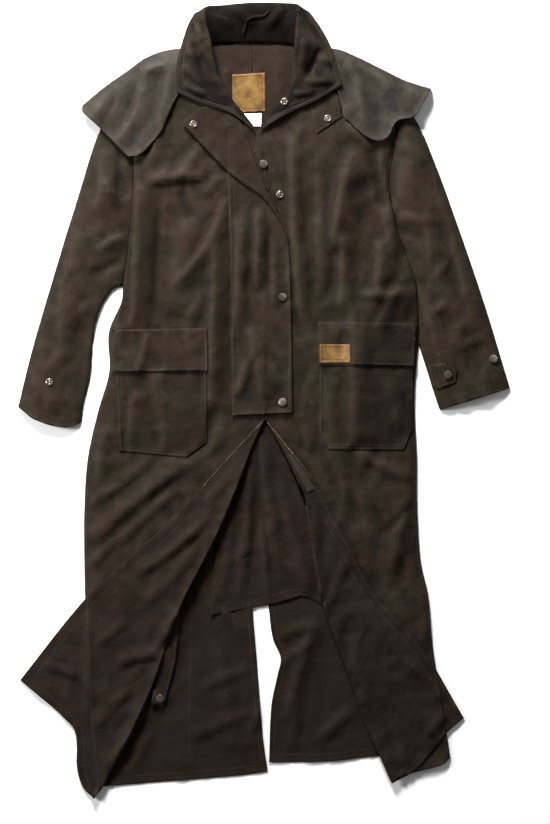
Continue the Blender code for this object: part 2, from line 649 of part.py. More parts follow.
UPPER = (
    "front_right", "front_left", "flap_right", "flap_left", "sleeve_right", "sleeve_left", "cape_front_right",
    "cape_front_left", "storm_flap", "lapel", "pocket_right", "pocket_flap_right", "pocket_left",
    "pocket_flap_left", "pocket_label", "throat_tab", "cuff_tab", "zip_upper", "zip_lower",
)
LOWER = ("back_right", "back_left", "cape_back", "fantail", "leg_strap", "neck_label", "care_label")
upper_plan = Plan(
    UPPER,
    guides_for(
        FRONT_FOLDS + SLEEVE_FOLDS + FLAP_FOLDS + CAPE_FOLDS,
        CLOSED_BODY + CLOSED_SLEEVES + ("cape_shoulder_right", "cape_shoulder_left"),
        FINE,
    ),
    FINE,
)
lower_plan = Plan(LOWER, guides_for(BACK_FOLDS + FANTAIL_FOLDS, (), FINE), COARSE)

pieces = {}


def flat_piece(name, plan, outline, height, finish_name="oilskin", wall=CLOTH):
    sheet = plan.sheet(outline, height)
    pieces[name] = added(name, sheet.points, sheet.faces, finish_name, wall)


def folded_piece(name, lower, upper, rows, finish_name="oilskin"):
    points, faces = joined(lower, upper, rows)
    pieces[name] = added(name, points, faces, finish_name, CLOTH)


# Body, sleeves and cape
flat_piece("back_right", lower_plan, "back_right", back_height, "lining_side")
flat_piece("back_left", lower_plan, "back_left", back_height, "lining_side")
flat_piece("cape_back", lower_plan, "cape_back", lambda points: np.full(len(points), FLOOR_SHEET))
for side in ("right", "left"):
    fold = (f"fold_{side}",)
    folded_piece(
        f"front_{side}",
        upper_plan.sheet(f"front_{side}", panel_height, fold),
        upper_plan.sheet(f"flap_{side}", flap_height, fold),
        rows=2,
    )
    tube = (f"sleeve_outer_{side}", f"sleeve_inner_{side}") + (("side_left_top",) if side == "left" else ())
    folded_piece(
        f"sleeve_{side}",
        upper_plan.sheet(f"sleeve_{side}", lower_height, tube),
        upper_plan.sheet(f"sleeve_{side}", panel_height, tube),
        rows=0,
    )
    flat_piece(f"cape_front_{side}", upper_plan, f"cape_front_{side}", cape_height)
    flat_piece(f"pocket_{side}", upper_plan, f"pocket_{side}", stacked(1))
    flat_piece(f"pocket_flap_{side}", upper_plan, f"pocket_flap_{side}", stacked(2))
folded_piece(
    "storm_flap",
    upper_plan.sheet("storm_flap", stacked(1), ("storm_fold",)),
    upper_plan.sheet("lapel", lapel_height, ("storm_fold",)),
    rows=1,
)

# Small flat pieces
flat_piece("throat_tab", upper_plan, "throat_tab", stacked(1))
flat_piece("cuff_tab_left", upper_plan, "cuff_tab", stacked(1))
flat_piece("pocket_label", upper_plan, "pocket_label", stacked(3), "leather", LABEL_THICK)
flat_piece("zip_upper", upper_plan, "zip_upper", stacked(1), "zip_tape")
flat_piece("fantail", lower_plan, "fantail", fantail_height, "lining_side")
flat_piece("leg_strap", lower_plan, "leg_strap", on_back(CLOTH))
flat_piece("neck_label", lower_plan, "neck_label", on_back(LABEL_THICK), "leather", LABEL_THICK)
flat_piece("care_label", lower_plan, "care_label", on_back(LABEL_THICK), "white_tape", LABEL_THICK)
flat_piece(
    "zip_lower", upper_plan, "zip_lower", lambda points: flap_height(points) + CLOTH + LAY_GAP, "zip_tape"
)


# Collar
def across(section):
    """Points of one section from the seam, round the roll, to the free edge."""
    seam, roll, edge = (np.array(p, float) for p in section)
    up, out = seam - roll, edge - roll
    size = min(ROLL_RADIUS, 0.4 * np.linalg.norm(up), 0.4 * np.linalg.norm(out))
    start = roll + up / np.linalg.norm(up) * size
    end = roll + out / np.linalg.norm(out) * size
    turn = [(1 - t) ** 2 * start + 2 * t * (1 - t) * roll + t * t * end for t in (0, 0.33, 0.67, 1)]
    return [seam, (seam + start) / 2, *turn, end + (edge - end) / 3, end + (edge - end) * 2 / 3, edge]


def collar():
    """Sections rounded from one to the next, with the two points of the collar kept sharp."""
    rows = np.array([across(section) for section in COLLAR])
    first, second = COLLAR_TIPS
    parts = [rows[: first + 1], rows[first : second + 1], rows[second:]]
    full = []
    for part in parts:
        columns = [rounded_by_count(part[:, i], COLLAR_STEPS) for i in range(part.shape[1])]
        grid = np.stack(columns, axis=1)
        full.append(grid if not full else grid[1:])
    grid = np.vstack(full)
    index = np.arange(grid.shape[0] * grid.shape[1]).reshape(grid.shape[:2])
    quads = np.stack([index[:-1, :-1], index[1:, :-1], index[1:, 1:], index[:-1, 1:]], axis=-1)
    faces = quads.reshape(-1, 4)
    pieces["collar"] = added("collar", grid.reshape(-1, 3), faces, "collar", COLLAR_CLOTH)


def rounded_by_count(points, count):
    """A smooth run through the points with the same number of steps in each stretch."""
    padded = np.vstack([2 * points[0] - points[1], points, 2 * points[-1] - points[-2]])
    run = [points[:1]]
    for before, start, end, after in zip(padded, padded[1:], padded[2:], padded[3:]):
        t = (np.arange(count) + 1)[:, None] / count
        run.append(
            (2 * t**3 - 3 * t**2 + 1) * start
            + (t**3 - 2 * t**2 + t) * (end - before) / 2
            + (3 * t**2 - 2 * t**3) * end
            + (t**3 - t**2) * (after - start) / 2
        )
    return np.vstack(run)


collar()


# Snaps and the hanging loop are seated on the surface that carries them.
def surface(carrier):
    bpy.context.view_layer.update()
    return BVHTree.FromObject(pieces[carrier], bpy.context.evaluated_depsgraph_get())


def top_of(tree, x, y):
    """The height of the highest surface at this place, or None beside the piece."""
    hit = tree.ray_cast(Vector((x, y, 1000)) * METRES, Vector((0, 0, -1)))[0]
    return None if hit is None else hit.z / METRES


def snap(spec):
    tree = surface(spec.carrier)
    outline = SNAP_OUTLINES[spec.kind]
    reach = outline[-1][0]
    spots = [(spec.x, spec.y)]
    for i in range(8):
        turn = 2 * math.pi * i / 8
        spots.append((spec.x + reach * math.cos(turn), spec.y + reach * math.sin(turn)))
    heights = [top_of(tree, *spot) for spot in spots]
    seat = max(h for h in heights if h is not None) + SNAP_LIFT
    points = [(spec.x, spec.y, seat + outline[0][1])]
    faces = []
    for radius, height in outline[1:]:
        for i in range(SNAP_SIDES):
            turn = 2 * math.pi * i / SNAP_SIDES
            points.append((spec.x + radius * math.cos(turn), spec.y + radius * math.sin(turn), seat + height))
    for i in range(SNAP_SIDES):
        faces.append((0, 1 + i, 1 + (i + 1) % SNAP_SIDES))
        for ring in range(len(outline) - 2):
            a = 1 + ring * SNAP_SIDES
            b = a + SNAP_SIDES
            j = (i + 1) % SNAP_SIDES
            faces.append((a + i, b + i, b + j, a + j))
    last = 1 + (len(outline) - 2) * SNAP_SIDES
    faces.append(tuple(last + i for i in reversed(range(SNAP_SIDES))))
    pieces[spec.name] = added(spec.name, points, faces, "snap_metal")


def hanging_loop():
    tree = surface("collar")
    route = rounded(LOOP_ROUTE, 9)
    left, right = shifted(route, LOOP_WIDTH / 2), shifted(route, -LOOP_WIDTH / 2)
    rows = []
    for spots in zip(left, route, right):
        heights = [top_of(tree, *spot) for spot in spots]
        seat = max(h for h in heights if h is not None) + SNAP_LIFT + LOOP_THICK / 2
        rows.append([(spot[0], spot[1], seat) for spot in (spots[0], spots[2])])
    points = [p for row in rows for p in row]
    faces = [(2 * i, 2 * i + 1, 2 * i + 3, 2 * i + 2) for i in range(len(rows) - 1)]
    pieces["hanging_loop"] = added("hanging_loop", points, faces, "zip_tape", LOOP_THICK)


for spec in SNAPS:
    snap(spec)
hanging_loop()
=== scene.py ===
# %% [markdown]
# # A duster coat laid flat
# This is a long riding coat of waxed cotton. It lies on its back on a pale floor, and the camera looks
# straight down on it. The skirt of each front is folded back outwards, so the inside of the cloth shows
# there, and between the folds the back of the coat shows with its riding vent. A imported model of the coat,
# at its real size, is the frame that every piece below keeps to.

import json
import math
from collections import namedtuple

import bpy
import numpy as np
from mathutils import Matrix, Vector, noise
from mathutils.bvhtree import BVHTree
from mathutils.geometry import delaunay_2d_cdt

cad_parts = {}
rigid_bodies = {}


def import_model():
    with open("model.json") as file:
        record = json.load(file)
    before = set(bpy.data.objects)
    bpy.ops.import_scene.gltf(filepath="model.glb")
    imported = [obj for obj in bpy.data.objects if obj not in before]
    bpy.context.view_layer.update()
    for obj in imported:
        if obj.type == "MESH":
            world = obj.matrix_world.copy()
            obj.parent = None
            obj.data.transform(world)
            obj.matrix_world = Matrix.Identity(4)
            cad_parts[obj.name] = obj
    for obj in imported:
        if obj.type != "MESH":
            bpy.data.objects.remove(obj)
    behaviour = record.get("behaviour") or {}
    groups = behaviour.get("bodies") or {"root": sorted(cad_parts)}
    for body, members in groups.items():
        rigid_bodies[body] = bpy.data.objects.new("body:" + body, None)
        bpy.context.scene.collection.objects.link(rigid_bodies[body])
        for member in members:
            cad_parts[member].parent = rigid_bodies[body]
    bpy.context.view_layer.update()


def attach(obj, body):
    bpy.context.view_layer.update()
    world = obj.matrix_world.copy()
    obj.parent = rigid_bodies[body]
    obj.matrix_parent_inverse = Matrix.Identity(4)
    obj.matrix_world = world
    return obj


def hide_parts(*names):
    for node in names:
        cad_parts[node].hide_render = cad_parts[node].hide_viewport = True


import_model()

# %% [markdown]
# ## Camera
# The whole coat fills an upright picture. A long lens high above it keeps the sides of the coat upright, as
# in a product photograph. One millimetre is the unit of every table below, and a mesh is made in metres.

# %% Camera
MM = 0.001
VIEW_MIDDLE = (18.9, -21.6)
VIEW_HEIGHT = 1483.2
CAMERA_HEIGHT = 6.0
SENSOR = 36.0

bpy.ops.object.select_all(action="DESELECT")
camera_place = (VIEW_MIDDLE[0] * MM, VIEW_MIDDLE[1] * MM, CAMERA_HEIGHT)
bpy.ops.object.camera_add(location=camera_place, rotation=(0, 0, 0))
camera = bpy.context.object
camera.data.sensor_width = SENSOR
camera.data.lens = SENSOR * CAMERA_HEIGHT / (VIEW_HEIGHT * MM)
bpy.context.scene.camera = camera
print("camera lens:", round(camera.data.lens, 1), "mm")

# %% [markdown]
# ## Seams
# A coat is cut from panels, so the tables start with its seams. Each seam is a run of points on the floor
# plan: x goes to the wearer's left and y up to the collar. A panel is the list of seams that go round it.
# Two panels that name the same seam meet exactly, which separate outlines would not.

# %% Seams and panels
SEAMS = {
    "shoulder_right": ((-105, 625), (-170, 607), (-246, 563)),
    "armhole_right": ((-246, 563), (-236, 497), (-237, 387), (-242, 322), (-248, 257), (-255, 205)),
    "side_right": (
        (-255, 205), (-257, 178), (-280, 121), (-279, 52), (-300, -23), (-318, -106),
        (-324, -196), (-324, -295), (-320, -430), (-314, -556), (-303, -695),
    ),
    "hem_front_right": ((-303, -695), (-307, -717)),
    "fold_right": ((-307, -717), (-286, -691), (-201, -520), (-156, -389), (-76, -227), (1, -32)),
    "front_edge": ((1, -32), (3, 182), (3, 374), (-19, 452)),
    "front_edge_top": ((-19, 452), (-14, 482)),
    "neck_right": ((-14, 482), (-33, 500), (-55, 527), (-73, 551), (-90, 580), (-99, 606), (-105, 625)),
    "shoulder_left": ((60, 625), (145, 607), (219, 567)),
    "armhole_left": ((219, 567), (235, 506), (233, 452), (225, 387), (238, 313), (251, 270), (273, 212)),
    "side_left_top": ((273, 212), (277, 155), (277, 103)),
    "side_left": (
        (277, 103), (270, 2), (274, -113), (274, -178), (280, -286), (294, -351),
        (303, -448), (318, -538), (334, -643),
    ),
    "hem_front_left": ((334, -643), (323, -655), (253, -675), (230, -689)),
    "fold_left": ((230, -689), (188, -603), (145, -479), (104, -364), (87, -281), (66, -166), (1, -32)),
    "neck_left": ((60, 625), (61, 606), (58, 578), (51, 553), (34, 530), (13, 508), (-14, 482)),
    "flap_edge_right": ((1, -32), (-80, -119), (-156, -205), (-240, -281), (-323, -358), (-440, -504)),
    "flap_hem_right": ((-440, -504), (-345, -589), (-338, -622), (-338, -657), (-327, -697), (-307, -717)),
    "flap_edge_left": ((1, -32), (84, -139), (145, -247), (199, -347), (278, -437), (359, -572)),
    "flap_hem_left": ((359, -572), (328, -599), (273, -664), (230, -689)),
    "sleeve_outer_right": (
        (-246, 563), (-274, 527), (-302, 470), (-336, 362), (-364, 272), (-417, 92), (-443, -13),
    ),
    "cuff_right": ((-443, -13), (-410, -37), (-357, -50), (-330, -41)),
    "sleeve_inner_right": (
        (-330, -41), (-325, -7), (-312, 52), (-309, 101), (-298, 155), (-273, 198), (-255, 205),
    ),
    "sleeve_outer_left": ((219, 567), (253, 533), (280, 488), (303, 434), (330, 362), (392, 182), (441, 21)),
    "cuff_left": ((441, 21), (381, 2), (316, -18)),
    "sleeve_inner_left": ((316, -18), (303, 20), (292, 56), (277, 103)),
    "back_neck_right": ((-105, 625), (-100, 640), (-90, 643), (-22, 644)),
    "back_neck_left": ((-22, 644), (45, 643), (55, 640), (60, 625)),
    "back_seam": ((-22, 644), (-21, 362), (-14, -70)),
    "vent_right": ((-14, -70), (-21, -214), (-21, -376), (-14, -466), (-3, -603), (6, -668)),
    "vent_left": (
        (-14, -70), (-3, -214), (8, -378), (15, -430), (29, -464), (24, -491), (12, -551), (8, -652),
    ),
    "back_hem_right": ((6, -668), (-40, -675), (-289, -695), (-303, -695)),
    "back_hem_left": ((8, -652), (120, -650), (206, -641), (334, -643)),
    "cape_shoulder_right": ((-115, 632), (-166, 631), (-211, 617), (-248, 591), (-284, 566), (-328, 530)),
    "cape_tip_right": ((-328, 530), (-328, 518)),
    "cape_hem_right": ((-328, 518), (-314, 506), (-291, 484), (-244, 436)),
    "cape_front_hem_right": ((-244, 436), (-222, 441), (-206, 457), (-184, 484), (-170, 518), (-156, 547)),
    "cape_neck_right": ((-156, 547), (-134, 560), (-105, 580), (-110, 610), (-115, 632)),
    "cape_shoulder_left": ((70, 632), (127, 632), (165, 618), (216, 593), (255, 574), (300, 560)),
    "cape_hem_left": (
        (300, 560), (287, 538), (271, 509), (238, 500), (222, 472), (206, 464), (179, 475), (142, 510),
    ),
    "cape_neck_left": ((142, 510), (133, 550), (110, 570), (71, 578), (66, 608), (70, 632)),
    "cape_back_hem": (
        (-328, 518), (-306, 498), (-272, 465), (-206, 410), (-100, 385), (-10, 380), (90, 385),
        (185, 412), (250, 478), (282, 528), (300, 560),
    ),
    "cape_back_neck": ((70, 632), (50, 626), (-95, 626), (-115, 632)),
    "storm_seam": ((-66, 497), (-66, 407), (-62, 272), (-58, -28)),
    "storm_hem": ((-58, -28), (50, -23)),
    "storm_edge": ((50, -23), (48, 149), (44, 279)),
    "storm_fold": ((44, 279), (28, 328), (1, 382), (-24, 448), (-41, 498)),
    "storm_top": ((-41, 498), (-66, 497)),
    "lapel_edge": ((44, 279), (30, 317), (14, 342), (-3, 364), (-62, 407), (-148, 497)),
    "lapel_top": ((-148, 497), (-107, 527), (-80, 526), (-41, 498)),
}
PANELS = {
    "front_right": (
        "shoulder_right", "armhole_right", "side_right", "hem_front_right", "fold_right",
        "front_edge", "front_edge_top", "neck_right",
    ),
    "front_left": (
        "shoulder_left", "armhole_left", "side_left_top", "side_left", "hem_front_left", "fold_left",
        "front_edge", "front_edge_top", "neck_left",
    ),
    "flap_right": ("fold_right", "flap_edge_right", "flap_hem_right"),
    "flap_left": ("fold_left", "flap_edge_left", "flap_hem_left"),
    "sleeve_right": ("armhole_right", "sleeve_inner_right", "cuff_right", "sleeve_outer_right"),
    "sleeve_left": ("armhole_left", "side_left_top", "sleeve_inner_left", "cuff_left", "sleeve_outer_left"),
    "back_right": (
        "shoulder_right", "armhole_right", "side_right", "back_hem_right", "vent_right",
        "back_seam", "back_neck_right",
    ),
    "back_left": (
        "shoulder_left", "armhole_left", "side_left_top", "side_left", "back_hem_left", "vent_left",
        "back_seam", "back_neck_left",
    ),
    "cape_front_right": (
        "cape_shoulder_right", "cape_tip_right", "cape_hem_right", "cape_front_hem_right", "cape_neck_right",
    ),
    "cape_front_left": ("cape_shoulder_left", "cape_hem_left", "cape_neck_left"),
    "cape_back": (
        "cape_shoulder_right", "cape_tip_right", "cape_back_hem", "cape_shoulder_left", "cape_back_neck",
    ),
    "storm_flap": ("storm_seam", "storm_hem", "storm_edge", "storm_fold", "storm_top"),
    "lapel": ("storm_fold", "lapel_edge", "lapel_top"),
}
PATCHES = {
    "pocket_right": ((-271, 115), (-105, 117), (-103, -76), (-140, -103), (-260, -92)),
    "pocket_flap_right": ((-274, 126), (-104, 129), (-102, 52), (-276, 50)),
    "pocket_left": ((99, 127), (269, 126), (266, -54), (251, -90), (115, -89), (99, -59)),
    "pocket_flap_left": ((97, 140), (273, 138), (269, 60), (97, 64)),
    "pocket_label": ((99, 100), (153, 100), (154, 67), (99, 67)),
    "throat_tab": ((82, 529), (94, 478), (140, 509), (131, 549), (104, 560)),
    "cuff_tab": ((299, 62), (332, 67), (346, 52), (343, 31), (310, 18)),
    "zip_upper": ((-15, 453), (-7, 456), (11, 383), (7, 376)),
    "zip_lower": ((42, -98), (48, -99), (78, -137), (91, -161), (78, -167), (66, -142)),
    "neck_label": ((-58, 585), (1, 589), (2, 519), (-40, 517), (-58, 538)),
    "care_label": ((-38, 515), (-5, 516), (-5, 491), (-27, 491)),
    "leg_strap": ((-177, -380), (-152, -391), (-159, -466), (-181, -553), (-204, -545), (-188, -466)),
    "fantail": (
        (-12, -22), (-36, -90), (-62, -160), (-87, -265), (-98, -388), (-17, -373), (19, -367), (64, -353),
        (82, -355), (104, -369), (98, -286), (70, -178), (30, -80), (12, -22),
    ),
}
print(len(SEAMS), "seams,", len(PANELS), "panels,", len(PATCHES), "patches")

# %% [markdown]
# ## Lines on the floor plan
# Between its points a seam is a smooth curve. A Catmull-Rom curve passes through every point, so the tables
# keep their meaning, where a Bezier curve would need handles as well. Distance from a seam then drives
# nearly everything: how high the cloth stands, where it is stitched and where it is worn.

# %% Curves and distances
MEASURE_STEP = 12
TINY = 1e-9


def stretches(points):
    """Each stretch of a run, between the point before it and the one after it."""
    padded = np.vstack([2 * points[0] - points[1], points, 2 * points[-1] - points[-2]])
    return zip(padded, padded[1:], padded[2:], padded[3:])


def bent(start, end, leaving, arriving, t):
    """Points on the smooth curve between two points, with its slopes there."""
    return (
        (2 * t**3 - 3 * t**2 + 1) * start
        + (t**3 - 2 * t**2 + t) * leaving
        + (3 * t**2 - 2 * t**3) * end
        + (t**3 - t**2) * arriving
    )


def rounded(points, step):
    """A smooth run through the points, with a point about every step."""
    points = np.array(points, float)
    if len(points) == 2:
        count = max(1, round(math.dist(*points) / step))
        return points[0] + np.linspace(0, 1, count + 1)[:, None] * (points[1] - points[0])
    run = [points[:1]]
    for before, start, end, after in stretches(points):
        reach = math.dist(start, end)
        count = max(1, round(reach / step))
        t = (np.arange(count) + 1)[:, None] / count
        leaving = (end - before) / max(math.dist(end, before), TINY) * reach
        arriving = (after - start) / max(math.dist(after, start), TINY) * reach
        run.append(bent(start, end, leaving, arriving, t))
    return np.vstack(run)


def seam_run(name, step):
    return rounded(SEAMS[name], step)


def enclosed(loop):
    """The area inside a closed outline, more than zero where it runs anticlockwise."""
    x, y = loop.T
    return (x @ np.roll(y, -1) - y @ np.roll(x, -1)) / 2


def loop_of(name, step):
    """The outline of a panel or patch, without its first point again at the end."""
    if name in PATCHES:
        corners = PATCHES[name]
        return np.vstack([rounded(side, step)[:-1] for side in zip(corners, corners[1:] + corners[:1])])
    runs = [seam_run(seam, step) for seam in PANELS[name]]
    if not np.allclose(runs[0][-1], runs[1][0]) and not np.allclose(runs[0][-1], runs[1][-1]):
        runs[0] = runs[0][::-1]
    loop = [runs[0]]
    for run in runs[1:]:
        loop.append(run if np.allclose(run[0], loop[-1][-1]) else run[::-1])
    return np.vstack([run[:-1] for run in loop])


def closed(loop):
    return np.vstack([loop, loop[:1]])


def within(points, loop):
    """Which points lie inside the closed outline."""
    low, high = loop.min(axis=0), loop.max(axis=0)
    inside = ((points >= low) & (points <= high)).all(axis=1)
    x, y = points[inside, :1], points[inside, 1:2]
    x0, y0 = loop[:, 0], loop[:, 1]
    x1, y1 = np.roll(x0, -1), np.roll(y0, -1)
    rise = np.where(y1 == y0, 1, y1 - y0)
    crossings = ((y0 > y) != (y1 > y)) & (x < x0 + (y - y0) * (x1 - x0) / rise)
    inside[inside] = crossings.sum(axis=1) % 2 == 1
    return inside


def measured(points, run):
    """For each point: distance from the run, its side of it, the length along it and the foot on it."""
    best, side, along = np.full(len(points), 1e9), np.zeros(len(points)), np.zeros(len(points))
    foot, travelled = np.zeros_like(points), 0.0
    for start, end in zip(run, run[1:]):
        span = end - start
        length = max(math.hypot(*span), TINY)
        offset = points - start
        t = np.clip(offset @ span / length**2, 0, 1)
        spot = start + t[:, None] * span
        away = np.linalg.norm(points - spot, axis=1)
        nearer = away < best
        best[nearer] = away[nearer]
        side[nearer] = np.sign(span[0] * offset[nearer, 1] - span[1] * offset[nearer, 0])
        along[nearer] = travelled + t[nearer] * length
        foot[nearer] = spot[nearer]
        travelled += length
    return best, side, along, foot


def distance(points, seams):
    return np.min([measured(points, seam_run(seam, MEASURE_STEP))[0] for seam in seams], axis=0)


def shifted(run, by):
    """The run moved sideways, to its left where by is positive."""
    slope = np.gradient(run, axis=0)
    slope /= np.maximum(np.linalg.norm(slope, axis=1), TINY)[:, None]
    return run + by * np.column_stack([-slope[:, 1], slope[:, 0]])


def eased(t):
    """0 below 0, 1 above 1 and a soft step in between."""
    t = np.clip(t, 0, 1)
    return t * t * (3 - 2 * t)


# %% [markdown]
# ## Folds
# Waxed cotton is stiff, so a coat that is laid down keeps soft pleats and a few sharp creases. Each row of
# the tables is one of them: a ridge, or a trough where its height is negative, from a start to an end. Bow
# is how far its middle stands off the straight line, lean makes one flank wider than the other, and crisp
# runs from a round crest at 0 to a sharp one at 1. A simulation would give folds too, but not where the
# photograph has them.

# %% Fold tables
Fold = namedtuple("Fold", "x0 y0 x1 y1 bow half_width height lean crisp")
FRONT_FOLDS = (
    # Right chest
    Fold(-229, 396, -236, 118, 0, 30, 8.3, 0.5, 0.7),
    Fold(-188, 362, -198, 144, 0, 10, -2.6, -0.3, 0.5),
    Fold(-214, 388, -104, 400, 4, 22, 6.0, 0.6, 0.6),
    Fold(-152, 380, -130, 320, 0, 13, -3.6, 0.2, 0.6),
    Fold(-69, 370, -166, 203, 15, 20, 5.7, 0.4, 0.7),
    Fold(-88, 300, -97, -24, 0, 22, 6.5, 0.4, 0.7),
    Fold(-140, 330, -158, 150, -6, 34, 3.1, 0.3, 0.2),
    Fold(-244, 184, -256, 136, 0, 13, -3.1, 0.0, 0.4),
    Fold(-188, 504, -206, 414, 0, 20, 3.6, 0.3, 0.3),
    Fold(-107, 369, -76, 405, 0, 13, 3.1, 0.2, 0.6),
    Fold(-112, 200, -136, 146, 3, 18, 2.9, 0.3, 0.5),
    Fold(-110, 470, -150, 420, 4, 18, 2.9, 0.3, 0.4),
    # Storm flap, which follows the fronts below it
    Fold(-44, 330, -51, 126, 0, 16, 5.4, 0.3, 0.4),
    Fold(-12, 345, -15, 196, 0, 15, 7.9, 0.5, 0.7),
    Fold(14, 297, 18, 160, 0, 10, 4.7, 0.2, 0.6),
    Fold(-30, 130, -2, 0, 4, 24, 5.8, 0.4, 0.6),
    Fold(-50, 0, -20, 92, 0, 14, 5.0, 0.3, 0.6),
    Fold(10, 70, 30, 30, 0, 14, 2.9, 0.0, 0.6),
    # Left chest
    Fold(50, 470, 72, 126, -6, 17, 6.0, 0.3, 0.7),
    Fold(161, 457, 124, 262, -6, 33, 8.6, 0.4, 0.8),
    Fold(142, 300, 140, 150, 0, 20, 6.0, 0.3, 0.6),
    Fold(206, 290, 196, 178, 5, 24, 6.5, 0.4, 0.6),
    Fold(168, 190, 262, 196, -3, 34, 6.0, -0.6, 0.7),
    Fold(94, 414, 104, 176, 0, 18, 2.3, 0.2, 0.2),
    Fold(143, 502, 193, 448, 0, 16, 3.9, 0.3, 0.5),
    Fold(214, 351, 236, 252, 0, 15, 3.4, 0.2, 0.4),
    Fold(199, 457, 222, 333, -4, 13, -3.9, -0.4, 0.3),
    Fold(238, 207, 196, 124, 4, 18, 3.4, 0.4, 0.5),
    Fold(88, 330, 112, 290, 0, 14, 2.3, 0.2, 0.6),
    # Pockets, which follow the fronts too
    Fold(-209, 124, -229, 46, 0, 9, 3.4, 0.2, 0.8),
    Fold(-233, 20, -246, -78, 0, 22, 2.9, 0.3, 0.4),
    Fold(-200, 56, -176, -96, 4, 40, 4.3, 0.5, 0.4),
    Fold(160, 176, 164, -86, 0, 62, 8.4, 0.65, 0.5),
    Fold(222, 40, 246, -60, 0, 20, 2.9, 0.3, 0.5),
    Fold(112, 30, 124, -80, 0, 16, 2.2, 0.2, 0.4),
    # Skirts
    Fold(-127, -106, -309, -258, -8, 26, 5.0, -0.4, 0.4),
    Fold(-206, -108, -312, -186, 5, 18, 3.2, -0.3, 0.5),
    Fold(-152, -158, -262, -262, -4, 13, 2.6, -0.3, 0.5),
    Fold(-246, 10, -253, -108, 0, 11, -2.6, 0.0, 0.4),
    Fold(-286, -40, -306, -160, 4, 16, 2.8, 0.2, 0.4),
    Fold(-89, -10, -110, -100, 0, 15, -2.8, 0.0, 0.3),
    Fold(-70, -66, -140, -128, 0, 14, 2.2, -0.3, 0.5),
    Fold(-268, -250, -312, -300, 0, 13, 2.6, -0.3, 0.5),
    Fold(159, -92, 269, -144, -4, 14, 3.4, 0.3, 0.6),
    Fold(256, -176, 230, -318, 0, 26, 4.2, -0.4, 0.5),
    Fold(272, -176, 216, -242, 0, 12, -2.8, 0.2, 0.7),
    Fold(289, -262, 294, -456, 0, 15, 2.6, 0.0, 0.3),
    Fold(102, -60, 148, -186, 5, 20, 2.4, 0.3, 0.3),
    Fold(165, -148, 194, -262, 0, 20, 2.8, 0.4, 0.4),
    Fold(200, -300, 252, -400, 4, 20, 3.0, 0.3, 0.4),
    Fold(60, -20, 84, -90, 0, 16, 2.0, 0.2, 0.5),
)
SLEEVE_FOLDS = (
    Fold(-287, 456, -302, 330, 4, 24, 4.4, 0.3, 0.3),
    Fold(-312, 222, -254, 248, 3, 15, -3.2, 0.2, 0.4),
    Fold(-306, 266, -250, 294, 3, 15, 3.6, -0.4, 0.5),
    Fold(-332, 306, -366, 104, -5, 26, 3.2, 0.2, 0.2),
    Fold(-296, 184, -326, 34, 0, 16, 2.6, 0.5, 0.4),
    Fold(-343, 142, -308, 180, 0, 12, 2.2, 0.2, 0.6),
    Fold(-396, 50, -348, 92, 0, 12, 2.0, 0.2, 0.6),
    Fold(-264, 456, -260, 324, 0, 12, -2.6, 0.0, 0.3),
    Fold(-300, 396, -272, 360, 0, 13, 2.4, 0.3, 0.6),
    Fold(-372, 200, -344, 236, 0, 12, 2.0, 0.2, 0.5),
    Fold(-418, 40, -372, -22, 0, 16, 2.2, 0.2, 0.4),
    Fold(224, 450, 238, 351, 0, 13, -3.8, -0.3, 0.3),
    Fold(242, 456, 290, 423, 4, 15, 4.0, 0.3, 0.5),
    Fold(238, 308, 282, 290, 0, 11, -3.2, 0.3, 0.8),
    Fold(240, 330, 290, 314, 0, 13, 3.4, 0.3, 0.6),
    Fold(267, 209, 322, 48, 4, 18, 3.6, 0.5, 0.4),
    Fold(316, 380, 382, 104, 6, 26, 3.2, 0.3, 0.2),
    Fold(288, 340, 302, 232, 0, 15, 2.8, 0.3, 0.4),
    Fold(343, 88, 392, 110, 0, 12, 2.0, 0.3, 0.6),
    Fold(330, 250, 300, 214, 0, 12, 2.2, 0.2, 0.6),
    Fold(298, 150, 330, 176, 0, 11, 2.2, 0.2, 0.6),
)
FLAP_FOLDS = (
    Fold(-94, -209, -233, -320, 5, 13, 3.8, -0.4, 0.6),
    Fold(-116, -266, -212, -372, 0, 20, 2.8, -0.3, 0.4),
    Fold(-266, -478, -186, -458, 4, 17, 3.8, 0.4, 0.5),
    Fold(-392, -480, -334, -502, 3, 13, 3.2, 0.4, 0.5),
    Fold(-318, -376, -318, -588, 0, 13, 2.8, 0.2, 0.3),
    Fold(-204, -540, -288, -668, 6, 20, 3.2, -0.3, 0.4),
    Fold(-368, -430, -304, -542, 0, 17, 2.4, 0.2, 0.4),
    Fold(-150, -376, -192, -454, 0, 15, 2.8, -0.3, 0.5),
    Fold(-250, -400, -300, -440, 0, 13, 2.2, -0.2, 0.6),
    Fold(-60, -140, -110, -190, 0, 12, 2.0, -0.2, 0.5),
    Fold(-240, -520, -304, -600, -4, 15, 2.4, -0.2, 0.5),
    Fold(110, -212, 166, -292, 3, 12, 2.2, 0.2, 0.6),
    Fold(146, -286, 116, -362, 0, 13, 2.2, 0.2, 0.6),
    Fold(181, -358, 222, -456, 0, 19, 2.6, 0.3, 0.4),
    Fold(152, -428, 194, -580, 0, 21, 2.8, 0.3, 0.4),
    Fold(244, -464, 322, -544, 4, 15, 3.0, 0.3, 0.5),
    Fold(296, -606, 328, -562, 0, 13, 3.0, 0.3, 0.5),
    Fold(233, -572, 256, -660, 0, 17, 2.6, 0.2, 0.4),
    Fold(88, -190, 92, -290, 0, 11, 2.0, 0.2, 0.6),
)
